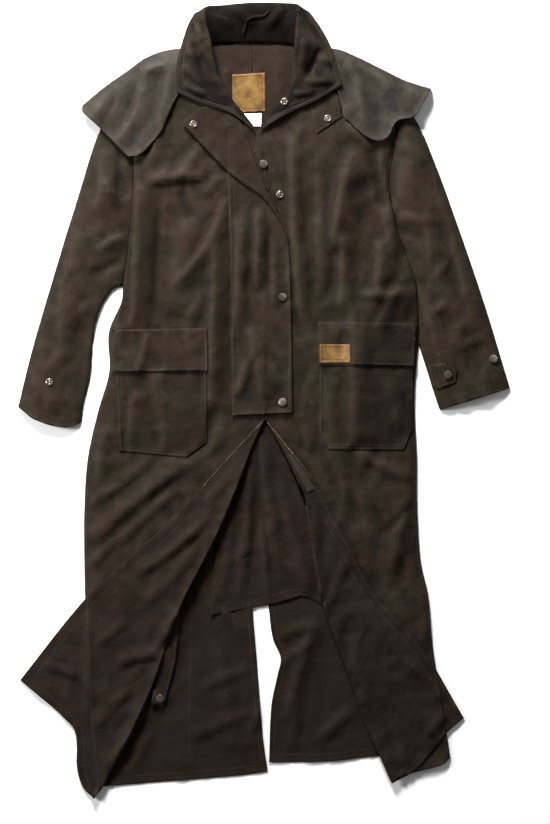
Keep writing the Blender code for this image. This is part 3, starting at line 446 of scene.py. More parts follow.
BACK_FOLDS = (
    Fold(93, -388, 36, -584, -4, 19, 4.8, 0.5, 0.6),
    Fold(22, -430, 86, -404, 0, 13, 3.0, 0.2, 0.7),
    Fold(24, -480, 88, -430, 0, 12, 2.6, 0.2, 0.7),
    Fold(96, -616, 158, -560, 0, 18, 3.8, 0.3, 0.5),
    Fold(46, -634, 66, -540, 0, 13, 2.2, 0.2, 0.5),
    Fold(-89, -430, -56, -640, 5, 22, 2.6, 0.2, 0.4),
    Fold(-116, -524, -26, -488, 4, 14, 2.4, 0.3, 0.5),
    Fold(-134, -612, -18, -566, 4, 15, 2.4, 0.3, 0.5),
    Fold(-80, -376, -22, -434, 0, 10, 2.4, 0.2, 0.7),
    Fold(-206, -592, -242, -673, 0, 16, 2.6, 0.2, 0.4),
    Fold(-30, -630, -4, -540, 0, 12, 2.2, 0.2, 0.5),
    Fold(-66, 600, -80, 560, 0, 13, 1.4, 0.2, 0.5),
    Fold(20, 620, 28, 540, 2, 13, 1.4, 0.2, 0.5),
)
FANTAIL_FOLDS = (
    Fold(-5, -60, 33, -342, -4, 16, 4.4, 0.3, 0.4),
    Fold(-26, -108, -48, -362, 4, 15, 3.6, 0.2, 0.4),
    Fold(-58, -198, -80, -364, 0, 13, 3.0, 0.2, 0.4),
    Fold(19, -126, 86, -344, -4, 14, 4.0, 0.3, 0.4),
    Fold(37, -286, 84, -352, 0, 17, 3.2, 0.2, 0.4),
    Fold(-5, -216, 8, -360, 0, 15, 2.6, 0.2, 0.4),
    Fold(-70, -300, -20, -260, 0, 12, 2.0, 0.2, 0.6),
    Fold(0, -190, 40, -226, 0, 12, 2.0, 0.2, 0.6),
)
CAPE_FOLDS = (
    Fold(-206, 612, -262, 462, 8, 22, 3.8, 0.3, 0.4),
    Fold(-172, 600, -192, 484, 4, 17, 3.2, 0.3, 0.4),
    Fold(-278, 566, -308, 496, 0, 17, 3.0, 0.2, 0.4),
    Fold(-238, 540, -270, 470, 4, 9, -1.8, 0.2, 0.6),
    Fold(-180, 540, -176, 486, 0, 9, -1.8, 0.2, 0.6),
    Fold(-150, 600, -228, 590, -4, 16, 1.8, 0.2, 0.4),
    Fold(163, 609, 215, 473, 5, 12, -2.0, 0.2, 0.6),
    Fold(125, 608, 214, 502, 0, 11, -1.6, 0.2, 0.6),
    Fold(193, 603, 256, 514, 0, 20, 3.6, 0.3, 0.5),
    Fold(158, 584, 180, 482, 4, 17, 3.0, 0.3, 0.5),
    Fold(240, 588, 284, 540, 2, 14, 2.4, 0.2, 0.4),
)
DRAPE = 1.8
CRISP_POWER = 1.35
WIDEST_LEAN = 1.7
Uneven = namedtuple("Uneven", "size seed height")
SWELL, RIDGE, CREASE = Uneven(75, 0, 3.2), Uneven(44, 9, 6.0), Uneven(20, 21, 3.2)
BEND_SIZE, BEND_SEED, BEND = 90, 5, 16
CRUMPLE_STRETCH = 1.35
NOISE_REST = 0.3


def fold_route(fold, count=9):
    """The crest of a fold on the floor plan."""
    start, end = np.array([fold.x0, fold.y0], float), np.array([fold.x1, fold.y1], float)
    t = np.linspace(0, 1, count)[:, None]
    left = np.array([start[1] - end[1], end[0] - start[0]]) / max(math.dist(start, end), TINY)
    return start + t * (end - start) + 4 * t * (1 - t) * fold.bow * left


def relief(points, folds):
    """How far the folds lift each point."""
    total = np.zeros(len(points))
    for fold in folds:
        route = fold_route(fold)
        reach = fold.half_width * WIDEST_LEAN
        near = ((points > route.min(axis=0) - reach) & (points < route.max(axis=0) + reach)).all(axis=1)
        away, side, along, _ = measured(points[near], route)
        width = fold.half_width * np.where(side > 0, 1 + fold.lean, 1 - fold.lean)
        t = np.minimum(away / width, 1)
        across = (1 - fold.crisp) * (1 + np.cos(math.pi * t)) / 2 + fold.crisp * (1 - t) ** CRISP_POWER
        length = np.linalg.norm(np.diff(route, axis=0), axis=1).sum()
        total[near] += DRAPE * fold.height * across * (1 - (2 * np.clip(along / length, 0, 1) - 1) ** 4)
    return total


def crumple(points, seed):
    """The small unevenness of stiff cloth: broad swells, and finer ridges longer than they are wide."""

    def wander(uneven, x, y):
        place = (x / uneven.size, y / (uneven.size * CRUMPLE_STRETCH), seed + uneven.seed)
        return noise.noise(place)

    values = np.empty(len(points))
    for i, (x, y) in enumerate(points):
        bend = BEND * noise.noise((x / BEND_SIZE, y / BEND_SIZE, seed + BEND_SEED))
        swell = wander(SWELL, x, y)
        ridge = NOISE_REST - abs(wander(RIDGE, x + bend, y - bend))
        crease = NOISE_REST - abs(wander(CREASE, x - bend, y + bend))
        values[i] = SWELL.height * swell + RIDGE.height * ridge + CREASE.height * crease
    return values


fold_tables = (FRONT_FOLDS, SLEEVE_FOLDS, FLAP_FOLDS, BACK_FOLDS, FANTAIL_FOLDS, CAPE_FOLDS)
print(sum(map(len, fold_tables)), "folds")

# %% [markdown]
# ## Stitched lines
# Every hem and seam of such a coat is top-stitched, and the cloth is drawn in along the stitches. The table
# gives the distances of the rows from an edge. The rows become edges of the mesh, so the dent that they
# make follows them exactly, and the threads are laid on them later.

# %% Rows of stitching
Rows = namedtuple("Rows", "piece seam insets")
STITCHED_SEAMS = (
    Rows("storm_flap", "storm_seam", (3, 11)),
    Rows("storm_flap", "storm_hem", (6,)),
    Rows("storm_flap", "storm_edge", (6,)),
    Rows("lapel", "lapel_edge", (6,)),
    Rows("lapel", "lapel_top", (6,)),
    Rows("front_right", "armhole_right", (3, 10)),
    Rows("front_left", "armhole_left", (3, 10)),
    Rows("front_right", "side_right", (4,)),
    Rows("front_left", "side_left", (4,)),
    Rows("flap_right", "flap_edge_right", (5, 17)),
    Rows("flap_left", "flap_edge_left", (5, 17)),
    Rows("flap_right", "flap_hem_right", (13,)),
    Rows("flap_left", "flap_hem_left", (13,)),
    Rows("sleeve_right", "cuff_right", (4, 16)),
    Rows("sleeve_left", "cuff_left", (4, 16)),
    Rows("cape_front_right", "cape_hem_right", (6,)),
    Rows("cape_front_right", "cape_front_hem_right", (6,)),
    Rows("cape_front_left", "cape_hem_left", (6,)),
    Rows("back_right", "back_hem_right", (14,)),
    Rows("back_left", "back_hem_left", (14,)),
    Rows("back_right", "vent_right", (9,)),
    Rows("back_left", "vent_left", (9,)),
)
STITCHED_PATCHES = {
    "pocket_right": (3, 9),
    "pocket_left": (3, 9),
    "pocket_flap_right": (4,),
    "pocket_flap_left": (4,),
    "throat_tab": (4,),
    "cuff_tab": (4,),
    "leg_strap": (4,),
    "pocket_label": (3.5,),
    "neck_label": (3.5,),
}
# Lines of stitching across a panel, where two cloths are joined flat
STITCHED_LINES = {
    "sleeve_right": (((-338, 372), (-347, 300), (-350, 180), (-353, 60), (-355, -30)),),
    "sleeve_left": (((303, 420), (310, 330), (310, 240), (312, 160), (330, 60)),),
    "back_right": (((-129, -300), (-134, -450), (-136, -640)),),
    "fantail": (((-89, -375), (-17, -360), (64, -340), (96, -352)),),
}
EDGE_STEP = 6.5
ROW_SLACK = 0.7


def inset_seam(piece, seam, inset):
    """The seam moved that far into the piece, and kept only where it is that far from every edge."""
    run, loop = seam_run(seam, EDGE_STEP), loop_of(piece, EDGE_STEP)
    middle = shifted(run, inset)[len(run) // 2 : len(run) // 2 + 1]
    moved = shifted(run, inset if within(middle, loop)[0] else -inset)
    keep = within(moved, loop) & (measured(moved, closed(loop))[0] > inset - ROW_SLACK)
    return moved[keep]


def inset_corners(corners, inset):
    """A closed outline moved inwards, with its corners kept sharp."""
    points = np.array(corners, float)
    ahead = np.roll(points, -1, axis=0) - points
    ahead /= np.linalg.norm(ahead, axis=1)[:, None]
    turn = np.sign(enclosed(points))
    left = turn * np.column_stack([-ahead[:, 1], ahead[:, 0]])
    before = np.roll(left, 1, axis=0)
    return points + inset * (left + before) / (1 + (left * before).sum(axis=1))[:, None]


stitch_runs = {}
for piece, seam, insets in STITCHED_SEAMS:
    for inset in insets:
        stitch_runs.setdefault(piece, []).append(inset_seam(piece, seam, inset))
for piece, insets in STITCHED_PATCHES.items():
    for inset in insets:
        corners = closed(inset_corners(PATCHES[piece], inset))
        sides = [rounded(side, EDGE_STEP) for side in zip(corners, corners[1:])]
        stitch_runs.setdefault(piece, []).append(np.vstack([side[:-1] for side in sides] + [corners[-1:]]))
for piece, lines in STITCHED_LINES.items():
    for line in lines:
        stitch_runs.setdefault(piece, []).append(rounded(line, EDGE_STEP))
print(sum(map(len, stitch_runs.values())), "rows of stitching on", len(stitch_runs), "pieces")

# %% [markdown]
# ## One plan of triangles
# All the upper layers are cut from one plan of triangles, and all the lower layers from another. An outline
# of any piece is made of edges of its plan, which a constrained Delaunay triangulation sees to. Two layers
# then have points in the same places, so one never cuts through the other, however the cloth is folded.

# %% Triangulate the plans
EDGE_ROWS = (2.2, 5.5)
GRID_ROOM = 0.62
ROW_ROOM = 1.5
PLAN_MERGE = 0.01
UPPER_SPACING, LOWER_SPACING = 7.5, 9.5


def spaced(candidates, taken, room):
    """The candidates that keep that much room from the points taken, and from each other."""
    cells = {}
    for x, y in taken:
        cells.setdefault((int(x // room), int(y // room)), []).append((x, y))
    kept = []
    for x, y in candidates:
        i, j = int(x // room), int(y // room)
        near = [p for a in (i - 1, i, i + 1) for b in (j - 1, j, j + 1) for p in cells.get((a, b), ())]
        if all((x - p[0]) ** 2 + (y - p[1]) ** 2 > room * room for p in near):
            kept.append((x, y))
            cells.setdefault((i, j), []).append((x, y))
    return np.array(kept).reshape(-1, 2)


class Plan:
    """Triangles over the floor plan, with the outlines and rows of stitching among their edges."""

    def __init__(self, names, spacing):
        self.loops = {name: loop_of(name, EDGE_STEP) for name in names}
        runs = [closed(loop) for loop in self.loops.values()]
        runs += [run for name in names for run in stitch_runs.get(name, ())]
        fixed = np.vstack(runs)
        rows = [
            shifted(closed(loop), side * inset)
            for loop in self.loops.values() for inset in EDGE_ROWS for side in (1, -1)
        ]
        rows = spaced(np.vstack(rows), fixed, ROW_ROOM)
        low, high = fixed.min(axis=0), fixed.max(axis=0)
        grid = np.array([
            (x + (row % 2) * spacing / 2, y)
            for row, y in enumerate(np.arange(low[1], high[1], spacing * math.sqrt(0.75)))
            for x in np.arange(low[0], high[0], spacing)
        ])
        covered = np.any([within(grid, loop) for loop in self.loops.values()], axis=0)
        grid = spaced(grid[covered], np.vstack([fixed, rows]), spacing * GRID_ROOM)
        edges, first = [], 0
        for run in runs:
            edges += [(first + i, first + i + 1) for i in range(len(run) - 1)]
            first += len(run)
        spots = [Vector(p) for p in np.vstack([fixed, rows, grid])]
        made = delaunay_2d_cdt(spots, edges, [], 0, PLAN_MERGE, False)
        self.points = np.array([tuple(p) for p in made[0]])
        self.faces = np.array([f for f in made[2] if len(f) == 3])
        self.centres = self.points[self.faces].mean(axis=1)

    def covered_by(self, *names):
        """Which points lie inside one of the outlines."""
        return np.any([within(self.points, self.loops[name]) for name in names], axis=0)


UPPER_OUTLINES = (
    "front_right", "front_left", "flap_right", "flap_left", "sleeve_right", "sleeve_left",
    "cape_front_right", "cape_front_left", "storm_flap", "lapel", "pocket_right", "pocket_flap_right",
    "pocket_left", "pocket_flap_left", "pocket_label", "throat_tab", "cuff_tab", "zip_upper", "zip_lower",
)
LOWER_OUTLINES = ("back_right", "back_left", "cape_back", "fantail", "leg_strap", "neck_label", "care_label")
upper, lower = Plan(UPPER_OUTLINES, UPPER_SPACING), Plan(LOWER_OUTLINES, LOWER_SPACING)
print("upper plan:", len(upper.points), "points; lower plan:", len(lower.points))

# %% [markdown]
# ## Heights
# The back lies flat on the floor. A front or upper sleeve comes down to it at a closed edge, in a quarter
# round, and is free elsewhere. Near the folded skirt edges the cloth stands up, because two thicknesses of
# stiff cloth don't lie flat. Every patch, flap or cape is then a number of cloths higher than what carries
# it.

# %% Height rules
CLOTH = 1.0
LAYER = 1.7
ON_SEAM = 0.05
FLOOR_SHEET = 0.62
CLOSED_EDGE, LEAST_RISE = 2.2, 0.2
PANEL_HEIGHT = 8.6
CROWN_WIDTH = 26
SLEEVE_FULLNESS, FULL_FROM_SIDE, FULL_FROM_ARMHOLE = 5.0, 60, 40
ARMHOLE_DENT, ARMHOLE_REACH = 4.2, 7
CAPE_STEP, CAPE_RAMP = 1.7, (3, 25)
SKIRT_SINK, SINK_FROM, SINK_LENGTH = 3.0, -300, 350
CRUMPLED = {"fronts": 3.0, "skirts": 31.0, "cape": 47.0, "back": 5.0, "fantail": 13.0}
SKIRT_FOLDS = ("fold_right", "fold_left")
SKIRT_LIFT = {"fold_right": (4.2, 40), "fold_left": (4.0, 38)}
SKIRT_ROLL = {"fold_right": (4.6, 18), "fold_left": (5.0, 20)}
APEX = np.array([1.0, -32.0])
APEX_CALM, HEM_CALM, HEM_SHARE = 150, 420, 0.25
CLOSED_BODY = ("shoulder_right", "side_right", "shoulder_left", "side_left_top", "side_left")
CLOSED_SLEEVES = ("sleeve_outer_right", "sleeve_inner_right", "sleeve_outer_left", "sleeve_inner_left")
CAPE_SHOULDERS = ("cape_shoulder_right", "cape_shoulder_left")
ARMHOLES = ("armhole_right", "armhole_left")


def crown(away, width):
    """A quarter round, from 0 at a closed edge to 1 at the width."""
    return np.sqrt(1 - (1 - np.clip(away / width, 0, 1)) ** 2)


def under_cape(points):
    """What lies on the back of the cape is one cloth higher, and comes down beyond its hem."""
    loop = loop_of("cape_back", EDGE_STEP)
    away = np.where(within(points, loop), 0, measured(points, closed(loop))[0])
    near, far = CAPE_RAMP
    return CAPE_STEP * (1 - np.clip((away - near) / (far - near), 0, 1))


def beside_folds(points, table):
    """The largest of the heights that the skirt folds give a point, less near their two ends."""
    total = np.zeros(len(points))
    for seam, (height, reach) in table.items():
        run = seam_run(seam, MEASURE_STEP)
        away = measured(points, run)[0]
        hem = run[0] if math.dist(run[-1], APEX) < 1 else run[-1]
        from_apex = eased(np.linalg.norm(points - APEX, axis=1) / APEX_CALM)
        from_hem = eased(np.linalg.norm(points - hem, axis=1) / HEM_CALM)
        calm = from_apex * (HEM_SHARE + (1 - HEM_SHARE) * from_hem)
        total = np.maximum(total, height * np.exp(-away / reach) * calm)
    return total


base = under_cape(upper.points)
closed_body = distance(upper.points, CLOSED_BODY + CLOSED_SLEEVES)
from_armhole = distance(upper.points, ARMHOLES)
in_sleeve = upper.covered_by("sleeve_right", "sleeve_left")
rounding = SLEEVE_FULLNESS * eased(closed_body / FULL_FROM_SIDE) * eased(from_armhole / FULL_FROM_ARMHOLE)
fullness = np.where(in_sleeve, rounding, 0)
lift = beside_folds(upper.points, SKIRT_LIFT)
folds = relief(upper.points, FRONT_FOLDS + SLEEVE_FOLDS) + crumple(upper.points, CRUMPLED["fronts"])
sunk = SKIRT_SINK * eased((SINK_FROM - upper.points[:, 1]) / SINK_LENGTH)
# The two cloths of an armhole dip into their seam
dip = -ARMHOLE_DENT * np.exp(-from_armhole / ARMHOLE_REACH)
full = PANEL_HEIGHT - sunk + lift + folds + fullness + dip
panel = base + CLOSED_EDGE + np.maximum(full - CLOSED_EDGE, LEAST_RISE) * crown(closed_body, CROWN_WIDTH)
under_sleeve = base + FLOOR_SHEET
print("fronts: up to", round(panel.max(), 1), "mm high")

# %% [markdown]
# The folded-back skirt lies on its own front. It is rolled up at the fold, and beyond the side seam it
# comes down to the floor. The turned-back top of the storm flap and the cape are worked out in the same
# way.

# %% Heights of what lies on the fronts
FLOOR_RAMP = 25
FREE_SKIRT, FREE_RAMP = 1.2, 30
on_fronts = upper.covered_by("front_right", "front_left") | (distance(upper.points, SKIRT_FOLDS) < ON_SEAM)
past = np.where(on_fronts, 0, distance(upper.points, CLOSED_BODY))
to_floor = FLOOR_SHEET + (CLOSED_EDGE + LAYER - FLOOR_SHEET) * (1 - eased(past / FLOOR_RAMP))
flap = np.where(on_fronts, panel + LAYER, to_floor) + beside_folds(upper.points, SKIRT_ROLL)
flap += relief(upper.points, FLAP_FOLDS) + np.where(on_fronts, 0, eased(past / FREE_RAMP)) * (
    FREE_SKIRT + crumple(upper.points, CRUMPLED["skirts"])
)
flap = np.maximum(flap, FLOOR_SHEET)

LAPEL_ROLL, LAPEL_REACH = 3.0, 16
EDGE_LIFT, EDGE_LIFT_REACH = 3.8, 18
LAPEL_LIFT = 1.4 * EDGE_LIFT
STORM_CALM = 90
free_edge = distance(upper.points, ("storm_hem", "storm_edge"))
lapel_edge = distance(upper.points, ("lapel_edge",))
from_fold = distance(upper.points, ("storm_fold",))
near_fold = eased(from_fold / STORM_CALM)
storm = panel + LAYER + EDGE_LIFT * near_fold * np.exp(-free_edge / EDGE_LIFT_REACH)
fold_ends = [np.linalg.norm(upper.points - SEAMS["storm_fold"][end], axis=1) for end in (0, -1)]
roll = LAPEL_ROLL * np.exp(-from_fold / LAPEL_REACH) * eased(np.minimum(*fold_ends) / STORM_CALM)
lapel = storm + LAYER + LAPEL_LIFT * near_fold * np.exp(-lapel_edge / EDGE_LIFT_REACH) + roll

CAPE_HEIGHT, CAPE_CLEARANCE = 12.5, 2.3
CAPE_HEM_LIFT, CAPE_HEM_REACH = 8.0, 30
CAPE_CRUMPLE, BACK_CRUMPLE, FANTAIL_CRUMPLE = 0.8, 0.85, 0.8
FANTAIL_STEP = 2.1
cape_hem = distance(upper.points, ("cape_hem_right", "cape_front_hem_right", "cape_hem_left"))
cape_full = CAPE_HEIGHT + relief(upper.points, CAPE_FOLDS)
cape_full += CAPE_CRUMPLE * crumple(upper.points, CRUMPLED["cape"])
cape_full = np.maximum(cape_full + CAPE_HEM_LIFT * np.exp(-cape_hem / CAPE_HEM_REACH), panel + CAPE_CLEARANCE)
cape = CLOSED_EDGE + (cape_full - CLOSED_EDGE) * crown(distance(upper.points, CAPE_SHOULDERS), CROWN_WIDTH)

raised = BACK_CRUMPLE * np.maximum(crumple(lower.points, CRUMPLED["back"]), 0)
back = FLOOR_SHEET + under_cape(lower.points) + np.maximum(relief(lower.points, BACK_FOLDS) + raised, 0)
raised = FANTAIL_CRUMPLE * np.maximum(crumple(lower.points, CRUMPLED["fantail"]), 0)
fantail = FLOOR_SHEET + FANTAIL_STEP + relief(lower.points, FANTAIL_FOLDS) + raised
print("skirt flaps: up to", round(flap.max(), 1), "mm; cape:", round(cape.max(), 1), "mm")

# %% [markdown]
# ## From a plan to a piece of cloth
# A sheet takes its triangles from the plan and its height from the rules. It is drawn in a little at its
# rim, so that two panels don't touch in a seam. A piece that is folded over, or a sleeve, is two sheets
# joined along a seam by a rounded strip. The wall then comes from a Solidify modifier, which keeps the
# cloth equally thick on a slope. Each point also stores how far it stands above or below the cloth around
# it, which gives wear on crests and painted shade in hollows. It also stores how near an edge it is, on which
# face of the cloth it is, and how much painted shade the boxes give it.

# %% Sheets
SEAM_DRAW, CLOSED_DRAW = 0.2, 0.7
FOOT_STEP = 6
ROLL_CALM, ROLL_REACH = 70, 16
DENT, DENT_REACH = 0.45, 2.6
HEM_BULK, HEM_WIDTH = 0.35, 14
PUCKER = (0.4, 7)
PUCKERS = {
    "storm_flap": (1.3, 17),
    "cape_front_right": (0.9, 10), "cape_front_left": (0.9, 10),
    "pocket_right": (0.1, 7), "pocket_left": (0.1, 7),
    "pocket_flap_right": (0.2, 7), "pocket_flap_left": (0.2, 7),
}
PUCKER_LENGTH, PUCKER_DRIFT, PUCKER_SWELL = 13.0, 41, 57
LOWEST_SHEET = FLOOR_SHEET - 0.1
FAR_FROM_EDGE = 20.0
CREST_BLURS = 6


class Sheet:
    """The middle surface of one panel, with its plan's points for the pattern of its weave."""

    def __init__(self, plan, name, height, joined_at=(), rolled=None, inside=0.0):
        ids, flat = np.unique(plan.faces[within(plan.centres, plan.loops[name])], return_inverse=True)
        self.ids, self.faces = ids, flat.reshape(-1, 3)
        self.local = {int(i): n for n, i in enumerate(ids)}
        spots = plan.points[ids]
        sides = np.vstack([self.faces[:, [0, 1]], self.faces[:, [1, 2]], self.faces[:, [2, 0]]])
        _, index, count = np.unique(np.sort(sides, axis=1), axis=0, return_inverse=True, return_counts=True)
        self.rim = sides[count[index.reshape(-1)] == 1]
        inward = np.zeros_like(spots)
        for a, b in self.rim:
            along = spots[b] - spots[a]
            left = np.array([-along[1], along[0]]) / np.linalg.norm(along)
            inward[a] += left
            inward[b] += left
        size = np.linalg.norm(inward, axis=1)
        self.inward = inward / np.maximum(size, TINY)[:, None]
        self.joined = distance(spots, joined_at) < ON_SEAM if joined_at else np.zeros(len(ids), bool)
        moved = self.inward * (np.where(self.joined, CLOSED_DRAW, SEAM_DRAW) * (size > 1e-6))[:, None]
        if rolled:
            seam, radius = rolled
            away, _, along, foot = measured(spots, seam_run(seam, FOOT_STEP))
            from_foot = (spots - foot) / np.maximum(away, 1e-6)[:, None]
            aside = np.where(away[:, None] > ON_SEAM, from_foot, self.inward)
            ends = eased(np.minimum(along, along.max() - along) / ROLL_CALM)
            moved += aside * (radius * ends * np.exp(-away / ROLL_REACH))[:, None]
        edge, _, along, _ = measured(spots, closed(plan.loops[name]))
        z = np.maximum(height[ids] + self.sewn(spots, name, edge, along), LOWEST_SHEET)
        self.points = np.column_stack([spots + moved, z])
        self.plan_points = spots
        self.edge = edge
        self.inside = np.full(len(ids), inside)

    @staticmethod
    def sewn(spots, name, edge, along):
        """The dents along rows of stitching, the bulk of a hem and the puckers between them."""
        runs = stitch_runs.get(name, ())
        if not runs:
            return np.zeros(len(spots))
        rows = np.min([measured(spots, run)[0] for run in runs], axis=0)
        depth, reach = PUCKERS.get(name, PUCKER)
        wave = np.sin(along * 2 * math.pi / PUCKER_LENGTH + 2 * np.sin(along / PUCKER_DRIFT))
        puckers = depth * (0.6 + 0.4 * np.sin(along / PUCKER_SWELL)) * wave * np.exp(-edge / reach)
        bulk = HEM_BULK * (1 - eased(edge / HEM_WIDTH))
        return bulk + puckers - DENT * np.exp(-rows / DENT_REACH)


def joined(low_sheet, high_sheet, rows):
    """Two sheets of one plan made one wall along the seams they are joined at, with rounding rows between."""
    points = [*low_sheet.points, *high_sheet.points]
    shift = len(low_sheet.points)
    faces = [tuple(f) for f in low_sheet.faces[:, ::-1]] + [tuple(f + shift) for f in high_sheet.faces]
    plan_points = [*low_sheet.plan_points, *high_sheet.plan_points]
    edge = [*low_sheet.edge, *high_sheet.edge]
    inside = [*low_sheet.inside, *high_sheet.inside]
    ladders = {}

    def ladder(spot):
        """The points that lead from a point of the low rim round to the high one."""
        if spot not in ladders:
            top = high_sheet.local[int(low_sheet.ids[spot])]
            a, b = low_sheet.points[spot], high_sheet.points[top]
            low_inside, high_inside = low_sheet.inside[spot], high_sheet.inside[top]
            out = -low_sheet.inward[spot] * (b[2] - a[2]) / 2
            steps = [spot]
            for row in range(rows):
                turn = math.pi * (row + 1) / (rows + 1)
                rise = (1 - math.cos(turn)) / 2
                middle = a[:2] + (b[:2] - a[:2]) * rise + out * math.sin(turn)
                steps.append(len(points))
                points.append(np.append(middle, a[2] + (b[2] - a[2]) * rise))
                plan_points.append(low_sheet.plan_points[spot])
                edge.append(FAR_FROM_EDGE)
                inside.append(low_inside + (high_inside - low_inside) * rise)
            ladders[spot] = steps + [shift + top]
        return ladders[spot]

    for a, b in low_sheet.rim:
        if low_sheet.joined[a] and low_sheet.joined[b]:
            left, right = ladder(a), ladder(b)
            faces += [(left[n], right[n], right[n + 1], left[n + 1]) for n in range(rows + 1)]
    return np.array(points), faces, np.array(plan_points), np.array(edge), np.array(inside)


def single(sheet):
    """One sheet in the form that joined() gives."""
    return sheet.points, [tuple(f) for f in sheet.faces], sheet.plan_points, sheet.edge, sheet.inside


def neighbour_mean(count, faces, values):
    """Each point's values averaged over the points it shares an edge with."""
    ends = np.array([(f[i], f[(i + 1) % len(f)]) for f in faces for i in range(len(f))])
    total, number = np.zeros(count), np.zeros(count)
    for a, b in (ends.T, ends.T[::-1]):
        np.add.at(total, a, values[b])
        np.add.at(number, a, 1)
    return total / np.maximum(number, 1)


# Painted shade: inside each box the colour of the cloth is painted darker, as shade on the fronts, skirts,
# back and collar. Each row is a box of the floor plan, the width of its soft rim and how dark it is.
Patch = namedtuple("Patch", "x0 y0 x1 y1 rim depth")
PAINTED_SHADE_BOXES = (
    Patch(163, -95, 276, 190, 16, 0.55),
    Patch(-268, -98, -106, 50, 12, 0.24),
    Patch(-92, -30, -60, 285, 12, 0.36),
    Patch(-234, 140, -196, 372, 12, 0.34),
    Patch(150, 330, 186, 436, 20, 0.34),
    Patch(-14, 196, 4, 345, 8, 0.34),
    Patch(58, 280, 72, 424, 8, 0.28),
    Patch(140, -330, 290, -120, 45, 0.22),
    Patch(150, -600, 300, -420, 50, 0.20),
    Patch(-34, -170, 34, -50, 36, 0.50),
    Patch(-140, -660, 140, -380, 40, 0.20),
    Patch(-132, 562, -90, 614, 16, 0.55),
    Patch(60, 598, 90, 642, 12, 0.50),
)


def painted_shade_depth(points):
    """How much painted shade each point takes, from 0 to 1."""
    total = np.zeros(len(points))
    for patch in PAINTED_SHADE_BOXES:
        inside_x = np.minimum(points[:, 0] - patch.x0, patch.x1 - points[:, 0])
        inside_y = np.minimum(points[:, 1] - patch.y0, patch.y1 - points[:, 1])
        inside = np.minimum(inside_x, inside_y)
        total = np.maximum(total, patch.depth * eased(0.5 + inside / patch.rim / 2))
    return total


pieces = {}


def cloth(name, shape, grain=0.0, wall=CLOTH):
    """A piece of cloth from its middle surface, with its weave turned by the grain angle in degrees."""
    points, faces, plan_points, edge, inside = shape
    mesh = bpy.data.meshes.new(name)
    mesh.from_pydata((points * MM).tolist(), [], [tuple(map(int, f)) for f in faces])
    blurred = points[:, 2]
    for _ in range(CREST_BLURS):
        blurred = neighbour_mean(len(points), faces, blurred)
    # Each point stores how much painted shade the boxes give it, for the materials to darken its colour
    crest, wax_roughness_and_painted_shade = points[:, 2] - blurred, painted_shade_depth(points[:, :2])
    for label, values in (("crest", crest), ("edge", edge), ("inside", inside), ("wax_roughness_and_painted_shade", wax_roughness_and_painted_shade)):
        mesh.attributes.new(label, "FLOAT", "POINT").data.foreach_set("value", values.astype(np.float32))
    turn = math.radians(grain)
    turned_by = np.array([[math.cos(turn), -math.sin(turn)], [math.sin(turn), math.cos(turn)]])
    across = plan_points @ turned_by * MM
    corners = np.empty(len(mesh.loops), np.int32)
    mesh.loops.foreach_get("vertex_index", corners)
    mesh.uv_layers.new(name="cloth").data.foreach_set("uv", across[corners].astype(np.float32).ravel())
    piece = bpy.data.objects.new(name, mesh)
    bpy.context.scene.collection.objects.link(piece)
    bpy.ops.object.select_all(action="DESELECT")
    piece.select_set(True)
    bpy.context.view_layer.objects.active = piece
    bpy.ops.object.mode_set(mode="EDIT")
    bpy.ops.mesh.select_all(action="SELECT")
    bpy.ops.mesh.normals_make_consistent(inside=False)
    bpy.ops.object.mode_set(mode="OBJECT")
    solid = piece.modifiers.new("wall", "SOLIDIFY")
    solid.thickness = wall * MM
    solid.offset = 0
    bpy.ops.object.modifier_apply(modifier="wall")
    bpy.ops.object.shade_smooth()
    pieces[name] = piece
    return piece


def one_layer(name, plan, outline, height, grain=0.0, wall=CLOTH, inside=0.0):
    """A piece of cloth that is a single sheet."""
    return cloth(name, single(Sheet(plan, outline, height, inside=inside)), grain, wall)


# %% [markdown]
# ## The body of the coat
# Back, fronts, sleeves and cape come first. The fronts and sleeves are folded or tubular, so each is one
# piece of two joined sheets.

# %% Body, sleeves and cape
FOLD_ROUNDING, TUBE_ROUNDING, LAPEL_ROUNDING = 4, 1, 2
FOLD_RADIUS = {"right": 4.2, "left": 3.2}
SLEEVE_GRAIN = {"right": -14, "left": 15}
one_layer("coat_back_right", lower, "back_right", back, inside=1.0)
one_layer("coat_back_left", lower, "back_left", back, inside=1.0)
one_layer("cape_back_cloth", lower, "cape_back", np.full(len(lower.points), FLOOR_SHEET))
for side in ("right", "left"):
    fold, grain = f"fold_{side}", SLEEVE_GRAIN[side]
    rolled = (fold, FOLD_RADIUS[side])
    front = Sheet(upper, f"front_{side}", panel, (fold,), rolled)
    turned_back = Sheet(upper, f"flap_{side}", flap, (fold,), rolled, inside=1.0)
    cloth(f"coat_front_{side}", joined(front, turned_back, FOLD_ROUNDING))
    tube = (f"sleeve_outer_{side}", f"sleeve_inner_{side}") + (("side_left_top",) if side == "left" else ())
    layers = [Sheet(upper, f"sleeve_{side}", height, tube) for height in (under_sleeve, panel)]
    cloth(f"coat_sleeve_{side}", joined(*layers, TUBE_ROUNDING), grain)
    one_layer(f"cape_{side}", upper, f"cape_front_{side}", cape, grain * 2)
layers = [
    Sheet(upper, "storm_flap", storm, ("storm_fold",)),
    Sheet(upper, "lapel", lapel, ("storm_fold",), inside=1.0),
]
cloth("storm_flap_cloth", joined(*layers, LAPEL_ROUNDING))
print({name: len(piece.data.vertices) for name, piece in pieces.items()})

# %% [markdown]
# ## Patches
# Pockets, flaps, tabs and labels are sewn on flat. A pocket flap hangs free at its lower edge, so it is
# lifted there and throws a small shadow on its pocket.

# %% Pockets, tabs and labels
FLAP_LIFT, FLAP_LIFT_REACH = 1.7, 22
STRAP_RISE, STRAP_RISE_REACH = 6.0, 60
LABEL_STEP, NECK_LABEL_STEP, CARE_LABEL_STEP, STRAP_STEP = 3 * LAYER - 0.3, 1.45, 1.3, 1.6
CARE_LABEL_WALL = 0.6


